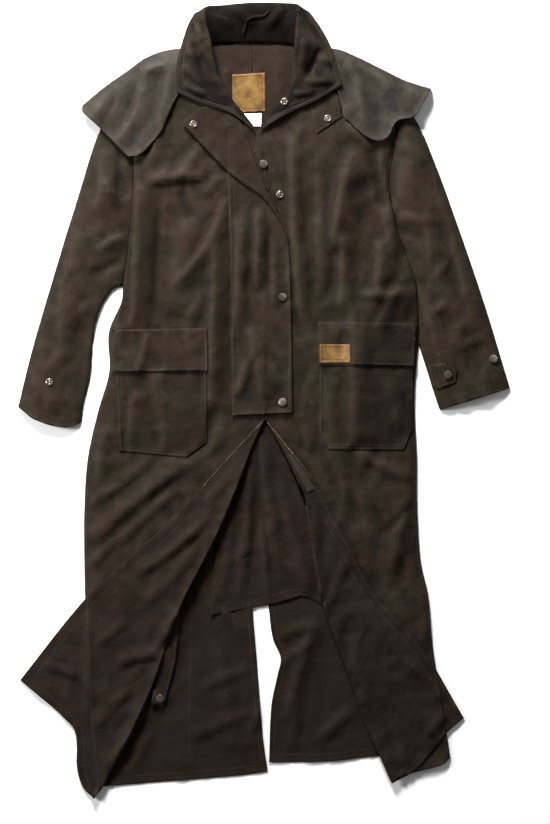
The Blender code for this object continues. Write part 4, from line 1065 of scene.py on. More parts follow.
def lifted(side):
    """The lift of a pocket flap, which grows towards its free edge."""
    low_edge = np.array(PATCHES[f"pocket_flap_{side}"][2:4], float)
    return FLAP_LIFT * np.exp(-measured(upper.points, low_edge)[0] / FLAP_LIFT_REACH)


for side in ("right", "left"):
    one_layer(f"pocket_bag_{side}", upper, f"pocket_{side}", panel + LAYER)
    one_layer(f"pocket_lid_{side}", upper, f"pocket_flap_{side}", panel + 2 * LAYER + lifted(side))
one_layer("pocket_patch", upper, "pocket_label", panel + LABEL_STEP + lifted("left"))
one_layer("neck_patch", lower, "neck_label", back + NECK_LABEL_STEP)
one_layer("care_tag", lower, "care_label", back + CARE_LABEL_STEP, wall=CARE_LABEL_WALL)
one_layer("throat_strap", upper, "throat_tab", panel + LAYER, 30)
one_layer("cuff_strap", upper, "cuff_tab", panel + LAYER, 15)
one_layer("zip_tape_top", upper, "zip_upper", panel + LAYER)
one_layer("zip_tape_low", upper, "zip_lower", flap + LAYER)
one_layer("vent_gusset", lower, "fantail", fantail, inside=1.0)
# The leg strap comes out from under the folded skirt, so it stands highest there
strap_rise = STRAP_RISE * (1 - eased(distance(lower.points, ("fold_right",)) / STRAP_RISE_REACH))
one_layer("thigh_strap", lower, "leg_strap", back + STRAP_STEP + strap_rise, -10)
print(len(pieces), "pieces of cloth")

# %% [markdown]
# ## Collar
# The collar is a curved sheet and not a flat one: from the neck seam it stands up, rolls over and falls to
# its free edge. The table gives that curve at twenty-one places round the neck, as its seam, the top of its
# roll and its edge. Lofting between sections keeps the two points of the collar sharp, which a simulated
# fold would blur.

# %% Collar
Section = namedtuple("Section", "seam roll edge")
COLLAR = (
    Section((-19, 489, 9.5), (-23, 495, 17), (-16, 483, 17.0)),
    Section((-39, 510, 9.5), (-40, 518, 18), (-39, 501, 17.0)),
    Section((-57, 533, 9.5), (-56, 538, 21), (-66, 518, 18.0)),
    Section((-73, 556, 9.5), (-68, 558, 24), (-107, 531, 19.0)),
    Section((-91, 585, 9.0), (-82, 583, 27), (-158, 553, 19.0)),
    Section((-100, 614, 8.0), (-89, 614, 29), (-158, 598, 19.0)),
    Section((-104, 635, 6.5), (-95, 646, 29), (-147, 644, 17.0)),
    Section((-100, 639, 4.8), (-105, 682, 27), (-133, 682, 9.0)),
    Section((-90, 639, 3.8), (-105, 705, 26), (-116, 698, 3.0)),
    Section((-66, 640, 3.4), (-73, 710, 25), (-77, 682, 1.6)),
    Section((-22, 641, 3.4), (-22, 715, 24), (-22, 668, 1.5)),
    Section((21, 640, 3.4), (28, 714, 25), (31, 682, 1.6)),
    Section((44, 639, 3.8), (60, 709, 26), (71, 701, 3.0)),
    Section((54, 638, 4.8), (58, 686, 27), (93, 680, 9.0)),
    Section((60, 632, 6.5), (54, 646, 29), (116, 641, 17.0)),
    Section((62, 610, 8.0), (52, 614, 29), (125, 610, 19.0)),
    Section((60, 581, 9.0), (50, 581, 27), (139, 566, 19.0)),
    Section((51, 553, 9.5), (43, 553, 24), (93, 538, 19.0)),
    Section((33, 529, 9.5), (26, 535, 21), (53, 520, 18.0)),
    Section((14, 509, 9.5), (10, 518, 18), (21, 503, 17.0)),
    Section((-6, 489, 9.5), (-5, 495, 17), (-9, 483, 17.0)),
)
COLLAR_TIPS = (4, 16)
COLLAR_STEPS = 7
COLLAR_WALL = 2.2
ROLL_SIZE, ROLL_SHARE = 6.5, 0.4
STAND_STEPS, ROLL_STEPS, FALL_STEPS = 10, 6, 22
STAND_CURVE, FALL_CURVE = 1.7, 1.6
HEM_BAND, GROOVE_WIDTH, GROOVE_DEPTH = 9.0, 1.6, 1.3
BAND_BULK, BAND_FROM, BAND_RAMP = 0.9, 5, 6
NECK_PUCKER, NECK_PUCKER_LENGTH, NECK_PUCKER_REACH = 0.35, 11, 8
PILE_SWAY, PILE_RIDGE = Uneven((30, 44), 5.0, 2.0), Uneven((17, 22), 8.0, 1.1)
STAND_COLUMNS, FALL_COLUMN, COLUMN_RAMP = 8, 17, 8
STAND_SHADE_COLUMNS, EDGE_CALM = 5, 12
COLLAR_FOLDS = (
    Fold(-150, 600, -112, 560, 3, 13, 5.2, 0.3, 0.6),
    Fold(-128, 640, -108, 590, 0, 13, -4.9, 0.2, 0.5),
    Fold(-145, 566, -104, 548, -2, 10, 4.4, 0.3, 0.6),
    Fold(-122, 672, -112, 640, 0, 10, 4.2, 0.2, 0.6),
    Fold(-142, 622, -112, 614, 2, 9, 3.1, 0.3, 0.6),
    Fold(98, 634, 70, 578, 4, 12, -5.7, 0.3, 0.5),
    Fold(72, 650, 66, 596, 0, 11, 5.5, 0.3, 0.6),
    Fold(70, 570, 122, 574, -2, 10, 4.4, 0.3, 0.6),
    Fold(92, 610, 124, 604, 2, 11, 4.7, 0.3, 0.6),
    Fold(52, 548, 88, 552, 0, 9, 3.6, 0.3, 0.6),
    Fold(-64, 706, -20, 672, 3, 12, 4.7, 0.2, 0.6),
    Fold(30, 704, -4, 664, 3, 12, 5.2, 0.2, 0.6),
    Fold(-90, 690, -60, 664, 3, 11, 3.9, 0.2, 0.6),
)


def even_run(points, count):
    """A smooth run through the points with the same number of steps in each stretch."""
    t = (np.arange(count) + 1)[:, None] / count
    run = [points[:1]]
    for before, start, end, after in stretches(points):
        run.append(bent(start, end, (end - before) / 2, (after - start) / 2, t))
    return np.vstack(run)


def section_curve(section):
    """The points across the collar at one section: up its stand, round its roll and down its fall."""
    seam, roll, edge = (np.array(p, float) for p in section)
    up, out = seam - roll, edge - roll
    size = min(ROLL_SIZE, ROLL_SHARE * np.linalg.norm(up), ROLL_SHARE * np.linalg.norm(out))
    start = roll + up / np.linalg.norm(up) * size
    end = roll + out / np.linalg.norm(out) * size
    steps = np.linspace(0, 1, ROLL_STEPS)
    turn = [(1 - t) ** 2 * start + 2 * t * (1 - t) * roll + t * t * end for t in steps]
    stand = []
    for t in np.linspace(0, 1, STAND_STEPS + 1)[:-1]:
        spot = seam + (start - seam) * t
        stand.append(np.append(spot[:2], seam[2] + (start[2] - seam[2]) * (1 - (1 - t) ** STAND_CURVE)))
    shares = 1 - (1 - np.linspace(0, 1, FALL_STEPS + 1)[1:]) ** FALL_CURVE
    return np.array(stand + turn + [end + (edge - end) * t for t in shares])


def collar_grid():
    rows = np.array([section_curve(section) for section in COLLAR])
    bounds = (0, *COLLAR_TIPS, len(rows) - 1)
    full_rows = []
    for first, last in zip(bounds, bounds[1:]):
        part = rows[first : last + 1]
        grid = np.stack([even_run(part[:, i], COLLAR_STEPS) for i in range(part.shape[1])], axis=1)
        full_rows.append(grid if not full_rows else grid[1:])
    return np.vstack(full_rows)


collar_points = collar_grid()
rows, columns = collar_points.shape[:2]
index = np.arange(rows * columns).reshape(rows, columns)
quads = np.stack([index[:-1, :-1], index[1:, :-1], index[1:, 1:], index[:-1, 1:]], axis=-1).reshape(-1, 4)
lengths = np.linalg.norm(np.diff(collar_points, axis=1), axis=2)
from_edge = np.hstack([np.cumsum(lengths[:, ::-1], axis=1)[:, ::-1], np.zeros((rows, 1))])
top_of_roll = collar_points[:, STAND_STEPS + ROLL_STEPS - 1]
round_neck = np.cumsum(np.linalg.norm(np.diff(top_of_roll, axis=0, prepend=top_of_roll[:1]), axis=1))
collar_folds = relief(collar_points[:, :, :2].reshape(-1, 2), COLLAR_FOLDS).reshape(rows, columns)
column = np.arange(columns)
off_the_stand = eased(column / STAND_COLUMNS)
on_the_fall = eased((column - FALL_COLUMN) / COLUMN_RAMP)


def pile(uneven, x, y):
    """Noise over the collar, wider one way than the other."""
    return noise.noise((x / uneven.size[0], y / uneven.size[1], uneven.seed))


for i in range(rows):
    for j in range(columns):
        x, y, _ = collar_points[i, j]
        away = from_edge[i, j]
        ridge = NOISE_REST - abs(pile(PILE_RIDGE, x, y))
        sway = PILE_SWAY.height * pile(PILE_SWAY, x, y) + PILE_RIDGE.height * ridge
        groove = math.exp(-(((away - HEM_BAND) / GROOVE_WIDTH) ** 2))
        band = BAND_BULK * (1 - eased((away - BAND_FROM) / BAND_RAMP)) - GROOVE_DEPTH * groove
        wave = NECK_PUCKER * math.sin(round_neck[i] * 2 * math.pi / NECK_PUCKER_LENGTH)
        pucker = wave * math.exp(-away / NECK_PUCKER_REACH)
        soft = off_the_stand[j] * eased(away / EDGE_CALM)
        collar_points[i, j, 2] += (sway + collar_folds[i, j]) * soft + (band + pucker) * on_the_fall[j]
along_collar = np.repeat(round_neck[:, None], columns, axis=1)
collar_plan = np.stack([along_collar, from_edge], axis=-1).reshape(-1, 2)
# The stand is painted darker than the fall, as painted shade for the shade under the roll
stand_shade_mask = np.tile(1 - eased((column - STAND_COLUMNS) / STAND_SHADE_COLUMNS), rows)
collar_faces = [tuple(quad) for quad in quads]
collar_shape = (collar_points.reshape(-1, 3), collar_faces, collar_plan, from_edge.ravel(), stand_shade_mask)
cloth("collar_cloth", collar_shape, wall=COLLAR_WALL)
print("collar:", rows, "by", columns, "points")

# %% [markdown]
# ## Shader values
# A material below is written as a formula. Adding or multiplying two values makes the Math node that does
# it, and add makes any other node, so a formula reads as one line where wiring by hand would take ten.

# %% Shader values
class Value:
    """A number, vector or colour in a material."""

    def __init__(self, shader, socket):
        self.shader, self.socket = shader, socket

    def maths(self, operation, *values):
        return self.shader.add("ShaderNodeMath", {"operation": operation}, dict(enumerate(values)))

    def __add__(self, other):
        return self.maths("ADD", self, other)

    def __sub__(self, other):
        return self.maths("SUBTRACT", self, other)

    def __mul__(self, other):
        return self.maths("MULTIPLY", self, other)

    def __rsub__(self, other):
        return self.maths("SUBTRACT", other, self)

    __radd__, __rmul__ = __add__, __mul__

    def between(self, low, high):
        """0 below low, 1 above high and a soft step in between."""
        sockets = {"Value": self, "From Min": low, "From Max": high}
        return self.shader.add("ShaderNodeMapRange", {"interpolation_type": "SMOOTHSTEP"}, sockets)

    def wave(self, pitch):
        """A sine from -1 to 1 that repeats at every pitch."""
        turn = self * (2 * math.pi / pitch)
        return turn.maths("SINE", turn)


class Shader:
    """A material whose surface is one Principled BSDF."""

    def __init__(self, name):
        self.material = bpy.data.materials.new(name)
        self.material.use_nodes = True
        self.nodes = self.material.node_tree.nodes
        self.surface = self.nodes["Principled BSDF"]

    def add(self, kind, settings=None, sockets=None, out=0):
        node = self.nodes.new(kind)
        for name, value in (settings or {}).items():
            setattr(node, name, value)
        for name, value in (sockets or {}).items():
            self.put(node.inputs[name], value)
        return Value(self, node.outputs[out])

    def put(self, socket, value):
        if isinstance(value, Value):
            self.material.node_tree.links.new(value.socket, socket)
        else:
            socket.default_value = value

    def mix(self, factor, first, second):
        settings = {"data_type": "RGBA"}
        return self.add("ShaderNodeMix", settings, {0: factor, 6: first, 7: second}, out=2)

    def noise(self, place, scale, detail=2.0, warp=0.0):
        sockets = {"Vector": place, "Scale": scale, "Detail": detail, "Distortion": warp}
        return self.add("ShaderNodeTexNoise", None, sockets)

    def cloth_map(self):
        """The place in the flat cloth, in metres."""
        return self.add("ShaderNodeUVMap", {"uv_map": "cloth"})

    def attribute(self, name):
        return self.add("ShaderNodeAttribute", {"attribute_name": name}, out="Fac")

    def dress(self, **sockets):
        for name, value in sockets.items():
            self.put(self.surface.inputs[name.replace("_", " ")], value)
        return self.material

    def bump(self, height):
        """A bump from a height in millimetres."""
        return self.add("ShaderNodeBump", None, {"Height": height, "Distance": MM, "Strength": 1.0})


def darker(colour, share):
    return tuple(share * channel for channel in colour[:3]) + (1,)


# %% [markdown]
# ## Waxed cotton
# Tightly woven cotton soaked in wax: dark, with patches of olive and of red-brown where the wax lies
# thicker or thinner. It breaks into pale hairlines where it was creased, and wears lighter on ridges and
# along edges. Pattern sizes are in repeats for each metre of cloth.

# %% Waxed cotton
WEAVE_PITCH = 0.0011
WARP_OF_CRACKS = (0.05, 0.05, 0.0)
OLIVE, BROWN, PALE = (0.0148, 0.0118, 0.0074, 1), (0.0176, 0.0106, 0.0074, 1), (0.045, 0.0325, 0.021, 1)
# The cape's copy of the waxed cotton: its lighter, greyer colours are painted sheen, and its higher gloss is
# a real one
CAPE_SHEEN_OLIVE, CAPE_SHEEN_BROWN = (0.0185, 0.0150, 0.0112, 1), (0.0206, 0.0142, 0.0108, 1)
CAPE_SHEEN_PALE = (0.050, 0.041, 0.031, 1)
BOLT_SHIFT, CAPE_SHIFT = 0.37, 2.2


def cracks(shader, place):
    """Hairlines along the edges of bent cells, in patches."""
    drift = shader.add("ShaderNodeTexNoise", None, {"Vector": place, "Scale": 26.0, "Detail": 3.0}, out=1)
    sockets = {0: drift, 1: WARP_OF_CRACKS, 2: place}
    bent_place = shader.add("ShaderNodeVectorMath", {"operation": "MULTIPLY_ADD"}, sockets)
    sockets = {"Vector": bent_place, "Scale": 30.0}
    broken = shader.add("ShaderNodeTexVoronoi", {"feature": "DISTANCE_TO_EDGE"}, sockets)
    return (1 - broken.between(0.0, 0.045)) * shader.noise(place, 17, 2).between(0.50, 0.66)


def waxed_cotton(name, olive, brown, pale, shift, wax_roughness_and_painted_shade=0.6, gloss=0.05):
    shader = Shader(name)
    flat = shader.cloth_map()
    place = shader.add("ShaderNodeMapping", None, {"Vector": flat, "Location": (shift, shift * 0.7, 0)})
    crest, edge, inside = (shader.attribute(label) for label in ("crest", "edge", "inside"))
    patches = shader.noise(place, 9, 4, 0.6).between(0.40, 0.62)
    smudges = shader.noise(place, 34, 3, 0.4).between(0.36, 0.68)
    grain = shader.noise(place, 520, 3)
    flecks = shader.noise(place, 1500, 1)
    hairline = cracks(shader, place)
    ridge = crest.between(0.15, 1.3)
    painted_trough_shade = (0 - crest).between(0.2, 1.6)
    rim = 1 - edge.between(0.0, 2.4)
    tone = shader.mix(patches, olive, brown)
    tone = shader.mix(smudges * 0.70, tone, darker(olive, 0.5))
    tone = shader.mix(ridge * 0.12 + rim * 0.30 + hairline * 0.22, tone, pale)
    # Painted shade: cloth that lies lower than the cloth around it, in troughs and creases, is painted darker
    tone = shader.mix(painted_trough_shade * 0.60, tone, darker(olive, 0.35))
    # The inner face is darker: partly its own duller colour, partly painted shade on the low back, fantail
    # and turned-back skirts
    tone = shader.mix(inside * 0.78, tone, darker(brown, 0.55))
    # Painted shade: the colour darkens inside the boxes of painted shade
    tone = shader.mix(shader.attribute("wax_roughness_and_painted_shade"), tone, darker(olive, 0.2))
    tone = shader.mix((grain - 0.5) * 1.6 + (flecks - 0.5) * 0.7 + 0.09, tone, pale)
    tone = shader.mix(grain.between(0.5, 0.25) * 0.5, tone, darker(olive, 0.4))
    across = shader.add("ShaderNodeSeparateXYZ", None, {0: flat})
    down = shader.add("ShaderNodeSeparateXYZ", None, {0: flat}, out=1)
    threads = across.wave(WEAVE_PITCH) * down.wave(WEAVE_PITCH)
    unevenness = shader.noise(place, 75, 3, 0.5) * 1.1 + shader.noise(place, 210, 2) * 0.25
    height = unevenness + threads * 0.03 + hairline * 0.12 + grain * 0.06
    rough = wax_roughness_and_painted_shade + smudges * 0.10 - ridge * 0.06 + (grain - 0.5) * 0.2
    return shader.dress(
        Base_Color=tone, Roughness=rough, Normal=shader.bump(height), Specular_IOR_Level=gloss,
    )


oilskin = [waxed_cotton(f"oilskin_{n}", OLIVE, BROWN, PALE, BOLT_SHIFT * n) for n in range(3)]
# The cape is the same waxed cotton, with painted sheen in its colours
painted_sheen_oilskin = waxed_cotton(
    "oilskin_cape_painted_sheen", CAPE_SHEEN_OLIVE, CAPE_SHEEN_BROWN, CAPE_SHEEN_PALE, CAPE_SHIFT, wax_roughness_and_painted_shade=0.55, gloss=0.09,
)
print("waxed cotton:", len(oilskin) + 1, "variants")

# %% [markdown]
# ## The other cloths, leather, metal and thread
# The collar is faced with fine corduroy, whose wales run from the neck to its edge. The label patches are
# plain vegetable-tanned leather with a darker rim. They carry no print here, only the border that is
# pressed into them.

# %% Other materials
WALE_PITCH = 0.0026
WALE_LOW, WALE_TOP = (0.0026, 0.0017, 0.0011, 1), (0.0062, 0.0040, 0.0026, 1)
WORN_PILE, WORN_CREST = (0.0200, 0.0145, 0.0098, 1), (0.021, 0.0158, 0.0110, 1)
PILE_LIGHT = (0.016, 0.0118, 0.0082, 1)
HEM_CLOTH, HEM_WORN = (0.0080, 0.0060, 0.0041, 1), (0.0150, 0.0113, 0.0078, 1)
# Painted shade: the first colour is painted on the collar's stand, the second inside the collar's boxes of
# painted shade
STAND_PAINTED_SHADE, COLLAR_PAINTED_SHADE = (0.0014, 0.0010, 0.0008, 1), (0.0020, 0.0014, 0.0010, 1)
TAN, TAN_STAIN, TAN_PRESSED = (0.157, 0.088, 0.021, 1), (0.082, 0.039, 0.009, 1), (0.058, 0.023, 0.006, 1)
TAN_RIM, TAN_GRAIN = (0.122, 0.051, 0.012, 1), (0.103, 0.043, 0.011, 1)
THREAD_DARK, THREAD_PALE = (0.026, 0.0195, 0.0145, 1), (0.082, 0.064, 0.048, 1)


def corduroy():
    shader = Shader("corduroy")
    flat = shader.cloth_map()
    round_collar = shader.add("ShaderNodeSeparateXYZ", None, {0: flat})
    edge, crest = shader.attribute("edge"), shader.attribute("crest")
    wobble = shader.noise(flat, 90, 2) * 0.0012
    wale = (round_collar + wobble).wave(WALE_PITCH).between(-0.9, 0.7)
    nap = shader.noise(flat, 900, 2)
    worn = shader.noise(flat, 32, 4, 0.8).between(0.42, 0.66)
    band = 1 - edge.between(8.0, 9.5)
    rubbed = crest.between(0.1, 1.2) * 0.4 + (1 - edge.between(0.0, 2.0)) * 0.4
    tone = shader.mix(wale, WALE_LOW, WALE_TOP)
    tone = shader.mix(worn * 0.8, tone, WORN_PILE)
    tone = shader.mix(band, tone, shader.mix(worn, HEM_CLOTH, HEM_WORN))
    tone = shader.mix(rubbed, tone, WORN_CREST)
    tone = shader.mix((nap - 0.5) * 1.2 + 0.1, tone, PILE_LIGHT)
    # Painted shade on the collar's stand, which its inside attribute carries
    tone = shader.mix(shader.attribute("inside") * 0.8, tone, STAND_PAINTED_SHADE)
    # Painted shade on the collar, inside its boxes of painted shade
    tone = shader.mix(shader.attribute("wax_roughness_and_painted_shade"), tone, COLLAR_PAINTED_SHADE)
    height = wale * (1 - band) * 0.30 + nap * 0.12 + shader.noise(flat, 110, 3) * 0.7
    return shader.dress(
        Base_Color=tone, Roughness=0.78, Normal=shader.bump(height), Specular_IOR_Level=0.06,
    )


def leather():
    shader = Shader("leather")
    flat = shader.cloth_map()
    edge = shader.attribute("edge")
    stain = shader.noise(flat, 60, 4, 0.8).between(0.35, 0.70)
    pores = shader.add("ShaderNodeTexVoronoi", {"feature": "F1"}, {"Vector": flat, "Scale": 900.0})
    pressed = edge.between(4.3, 4.8) * (1 - edge.between(5.6, 6.1))
    tone = shader.mix(stain, TAN, TAN_STAIN)
    tone = shader.mix(pressed * 0.6, tone, TAN_PRESSED)
    tone = shader.mix((1 - edge.between(0.2, 3.0)) * 0.65, tone, TAN_RIM)
    tone = shader.mix((shader.noise(flat, 700, 2) - 0.5) * 0.9 + 0.12, tone, TAN_GRAIN)
    height = pores * 0.10 + shader.noise(flat, 260, 3) * 0.25 - pressed * 0.25
    return shader.dress(
        Base_Color=tone, Roughness=0.52 + stain * 0.15, Normal=shader.bump(height), Specular_IOR_Level=0.2,
    )


def woven_tape(name, colour, pale, pitch):
    shader = Shader(name)
    flat = shader.cloth_map()
    sockets = {0: flat, 1: (1, 1, 0)}
    slant = shader.add("ShaderNodeVectorMath", {"operation": "DOT_PRODUCT"}, sockets, out="Value")
    rib = slant.wave(pitch).between(-0.8, 0.8)
    tone = shader.mix(rib * 0.6 + (shader.noise(flat, 400, 2) - 0.5) * 0.8, colour, pale)
    tone = shader.mix((1 - shader.attribute("edge").between(0.3, 1.2)) * 0.4, tone, pale)
    height = rib * 0.12 + shader.noise(flat, 300, 2) * 0.3
    return shader.dress(
        Base_Color=tone, Roughness=0.8, Normal=shader.bump(height), Specular_IOR_Level=0.12,
    )


def thread():
    shader = Shader("thread")
    place = shader.add("ShaderNodeTexCoord", out="Object")
    tone = shader.mix(shader.noise(place, 120, 2), THREAD_DARK, THREAD_PALE)
    fibres = shader.noise(place, 2500, 2)
    return shader.dress(Base_Color=tone, Roughness=0.6, Normal=shader.bump(fibres * 0.2))


def old_metal(name, bright, dull, finer):
    shader = Shader(name)
    place = shader.add("ShaderNodeTexCoord", out="Object")
    tarnish = shader.noise(place, 420 + finer, 4, 0.5).between(0.40, 0.66)
    tone = shader.mix(tarnish, bright, dull)
    scratches = shader.noise(place, 3000, 2)
    return shader.dress(
        Base_Color=tone, Metallic=0.95, Roughness=0.24 + tarnish * 0.26, Normal=shader.bump(scratches * 0.05),
    )


corduroy_cloth, tanned = corduroy(), leather()
dark_tape = woven_tape("dark_tape", (0.0078, 0.0052, 0.0035, 1), (0.0185, 0.0130, 0.0088, 1), 0.0018)
olive_tape = woven_tape("olive_tape", (0.016, 0.0116, 0.0078, 1), (0.040, 0.030, 0.021, 1), 0.0018)
white_tape = woven_tape("white_tape", (0.78, 0.77, 0.75, 1), (0.88, 0.875, 0.86, 1), 0.0012)
thread_cotton = thread()
nickel = old_metal("old_nickel", (0.36, 0.31, 0.26, 1), (0.085, 0.062, 0.046, 1), 0)
zinc = old_metal("zip_metal", (0.24, 0.19, 0.14, 1), (0.085, 0.062, 0.045, 1), 40)

DRESS = {
    "collar_cloth": corduroy_cloth,
    "pocket_patch": tanned, "neck_patch": tanned, "care_tag": white_tape,
    "zip_tape_top": dark_tape, "zip_tape_low": olive_tape,
    "cape_right": painted_sheen_oilskin, "cape_left": painted_sheen_oilskin,
}
for turn, (name, piece) in enumerate(pieces.items()):
    piece.data.materials.append(DRESS.get(name, oilskin[turn % len(oilskin)]))
print(len(bpy.data.materials), "materials")

# %% [markdown]
# ## What each piece stands for
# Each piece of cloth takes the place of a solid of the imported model. A row names both, with the width and
# length that were cut in metres, the outlines on the floor plan that the piece covers, and what it rests
# on. A sleeve covers its outline twice, with its upper and its lower layer.

# %% Pieces and cuts
UNDER_CAPE = ["cape_back_cloth"]
BACKS = ["coat_back_right", "coat_back_left"]
FRONTS = ["coat_front_right", "coat_front_left"]
Cut = namedtuple("Cut", "piece node slot held width length outlines rests")
CUTS = (
    Cut("coat_back_right", "back_right", "oilskin", "laid", 0.335, 1.365, ["back_right"], UNDER_CAPE),
    Cut("coat_back_left", "back_left", "oilskin", "laid", 0.365, 1.32, ["back_left"], UNDER_CAPE),
    Cut("coat_front_right", "front_right", "oilskin", "folded", 0.52, 1.36, ["front_right", "flap_right"],
        BACKS[:1]),
    Cut("coat_front_left", "front_left", "oilskin", "folded", 0.45, 1.34, ["front_left", "flap_left"],
        BACKS[1:]),
    Cut("coat_sleeve_right", "sleeve_right", "oilskin", "laid", 0.31, 0.64, ["sleeve_right"] * 2, UNDER_CAPE),
    Cut("coat_sleeve_left", "sleeve_left", "oilskin", "laid", 0.31, 0.60, ["sleeve_left"] * 2, UNDER_CAPE),
    Cut("cape_back_cloth", "cape_back", "oilskin", "laid", 0.63, 0.26, ["cape_back"], []),
    Cut("cape_right", "cape_front_right", "oilskin", "laid", 0.225, 0.20, ["cape_front_right"],
        ["coat_front_right", "coat_sleeve_right"]),
    Cut("cape_left", "cape_front_left", "oilskin", "laid", 0.235, 0.17, ["cape_front_left"],
        ["coat_front_left", "coat_sleeve_left"]),
    Cut("storm_flap_cloth", "storm_flap", "oilskin", "folded", 0.17, 0.56, ["storm_flap", "lapel"], FRONTS),
    Cut("pocket_bag_right", "pocket_right", "oilskin", "laid", 0.17, 0.23, ["pocket_right"], FRONTS[:1]),
    Cut("pocket_bag_left", "pocket_left", "oilskin", "laid", 0.17, 0.23, ["pocket_left"], FRONTS[1:]),
    Cut("pocket_lid_right", "pocket_flap_right", "oilskin", "laid", 0.18, 0.08, ["pocket_flap_right"],
        ["pocket_bag_right"]),
    Cut("pocket_lid_left", "pocket_flap_left", "oilskin", "laid", 0.18, 0.08, ["pocket_flap_left"],
        ["pocket_bag_left"]),
    Cut("pocket_patch", "pocket_label", "leather", "laid", 0.055, 0.034, ["pocket_label"],
        ["pocket_lid_left"]),
    Cut("neck_patch", "neck_label", "leather", "laid", 0.06, 0.073, ["neck_label"], BACKS),
    Cut("care_tag", "care_label", "white_tape", "laid", 0.034, 0.026, ["care_label"], BACKS),
    Cut("throat_strap", "throat_tab", "oilskin", "laid", 0.06, 0.083, ["throat_tab"], ["coat_front_left"]),
    Cut("cuff_strap", "cuff_tab_left", "oilskin", "laid", 0.048, 0.05, ["cuff_tab"], ["coat_sleeve_left"]),
    Cut("zip_tape_top", "zip_upper", "tape", "laid", 0.015, 0.085, ["zip_upper"], ["coat_front_left"]),
    Cut("zip_tape_low", "zip_lower", "tape", "laid", 0.025, 0.085, ["zip_lower"], ["coat_front_left"]),
    Cut("vent_gusset", "fantail", "oilskin", "laid", 0.205, 0.37, ["fantail"], BACKS),
    Cut("thigh_strap", "leg_strap", "oilskin", "laid", 0.03, 0.185, ["leg_strap"], ["coat_back_right"]),
    Cut("collar_cloth", "collar", "collar_cloth", "folded", 0.115, 0.56, [], FRONTS),
    Cut("loop_tape", "hanging_loop", "tape", "laid", 0.01, 0.07, [], ["collar_cloth"]),
)
# The collar and the loop have no outline on the floor plan, so their own surface gives what was cut, in m2
CURVED_CUTS = {"collar_cloth": 0.051, "loop_tape": 0.0004}
PIECE_OF = {outline: cut.piece for cut in CUTS for outline in cut.outlines}
print(len(CUTS), "pieces of cloth, from", len(PIECE_OF), "outlines and", len(CURVED_CUTS), "free forms")

# %% [markdown]
# ## Stitches
# Each stitch is a thread that comes up, lies on the cloth for three millimetres and goes down again. One
# stitch is modelled, and it is laid along every row with its underside in the dent. Rays from above find
# the surface, so the stitches follow every fold.

# %% Stitch by stitch
STITCH_PITCH = 4.2
STITCH_SIZE = (1.45, 0.36, 0.30)
STITCH_SUNK = 0.05
RAY_FROM, LEAST_UPWARD = 90.0, 0.25


def surface_of(piece):
    """A tree of the piece's faces, in millimetres, for rays to hit."""
    corners = [vertex.co / MM for vertex in piece.data.vertices]
    return BVHTree.FromPolygons(corners, [tuple(polygon.vertices) for polygon in piece.data.polygons])


def travelled_along(run):
    """The length of the run up to each of its points."""
    return np.concatenate([[0], np.cumsum(np.linalg.norm(np.diff(run, axis=0), axis=1))])


def from_above(tree, x, y):
    """The highest point of the surface there and its normal, or nothing."""
    place, normal, _, _ = tree.ray_cast(Vector((x, y, RAY_FROM)), Vector((0, 0, -1)))
    return (place, normal) if place is not None and normal.z > LEAST_UPWARD else None


def finished(name, points, faces, material):
    """A mesh from points in millimetres, shaded smooth, with its material."""
    mesh = bpy.data.meshes.new(name)
    mesh.from_pydata([tuple(p * MM for p in point) for point in points], [], faces)
    piece = bpy.data.objects.new(name, mesh)
    bpy.context.scene.collection.objects.link(piece)
    mesh.materials.append(material)
    mesh.shade_smooth()
    return piece


def laid(name, template, frames, material):
    """Copies of the template, one for each place, direction and up vector, as one mesh."""
    points, faces = [], []
    shape = [Vector(v.co) / MM for v in template.data.vertices]
    rings = [tuple(p.vertices) for p in template.data.polygons]
    for place, ahead, up in frames:
        side = up.cross(ahead).normalized()
        ahead = side.cross(up)
        first = len(points)
        points += [place + ahead * v.x + side * v.y + up * v.z for v in shape]
        faces += [tuple(first + i for i in ring) for ring in rings]
    return finished(name, points, faces, material)


def frames_along(tree, run, pitch, sunk=0.0):
    """Places at even steps along a run, seated on the surface, with their direction and up vector."""
    travelled = travelled_along(run)
    spots = np.arange(pitch / 2, travelled[-1], pitch)
    xs, ys = (np.interp(spots, travelled, run[:, i]) for i in (0, 1))
    hits = [from_above(tree, x, y) for x, y in zip(xs, ys)]
    frames = []
    for before, here, after in zip(hits, hits[1:], hits[2:]):
        if before and here and after and abs(after[0].z - before[0].z) < pitch:
            frames.append((here[0] - here[1] * sunk, (after[0] - before[0]).normalized(), here[1]))
    return frames


bpy.ops.object.select_all(action="DESELECT")
bpy.ops.mesh.primitive_uv_sphere_add(segments=4, ring_count=2, radius=MM, location=(0, 0, 0))
one_stitch = bpy.context.object
bpy.ops.object.mode_set(mode="EDIT")
bpy.ops.transform.resize(value=STITCH_SIZE)
bpy.ops.object.mode_set(mode="OBJECT")

surfaces = {name: surface_of(piece) for name, piece in pieces.items()}
stitched = {}
for outline, runs in stitch_runs.items():
    name = PIECE_OF[outline]
    for run in runs:
        if len(run) > 1:
            frames = frames_along(surfaces[name], run, STITCH_PITCH, STITCH_SUNK)
            stitched.setdefault(name, []).extend(frames)
hem_column = np.argmin(np.abs(from_edge[rows // 2] - HEM_BAND))
collar_row = collar_points[:, hem_column, :2]
stitched["collar_cloth"] = frames_along(surfaces["collar_cloth"], collar_row, STITCH_PITCH, STITCH_SUNK)
# What each piece of cloth carries: its thread first, and then the metal that sits on it
carried = {}
for name, frames in stitched.items():
    rows_of_thread = laid(f"stitches_{name}", one_stitch, frames, thread_cotton)
    carried[name] = [rows_of_thread]
bpy.data.objects.remove(one_stitch)
print(sum(map(len, stitched.values())), "stitches on", len(stitched), "pieces")

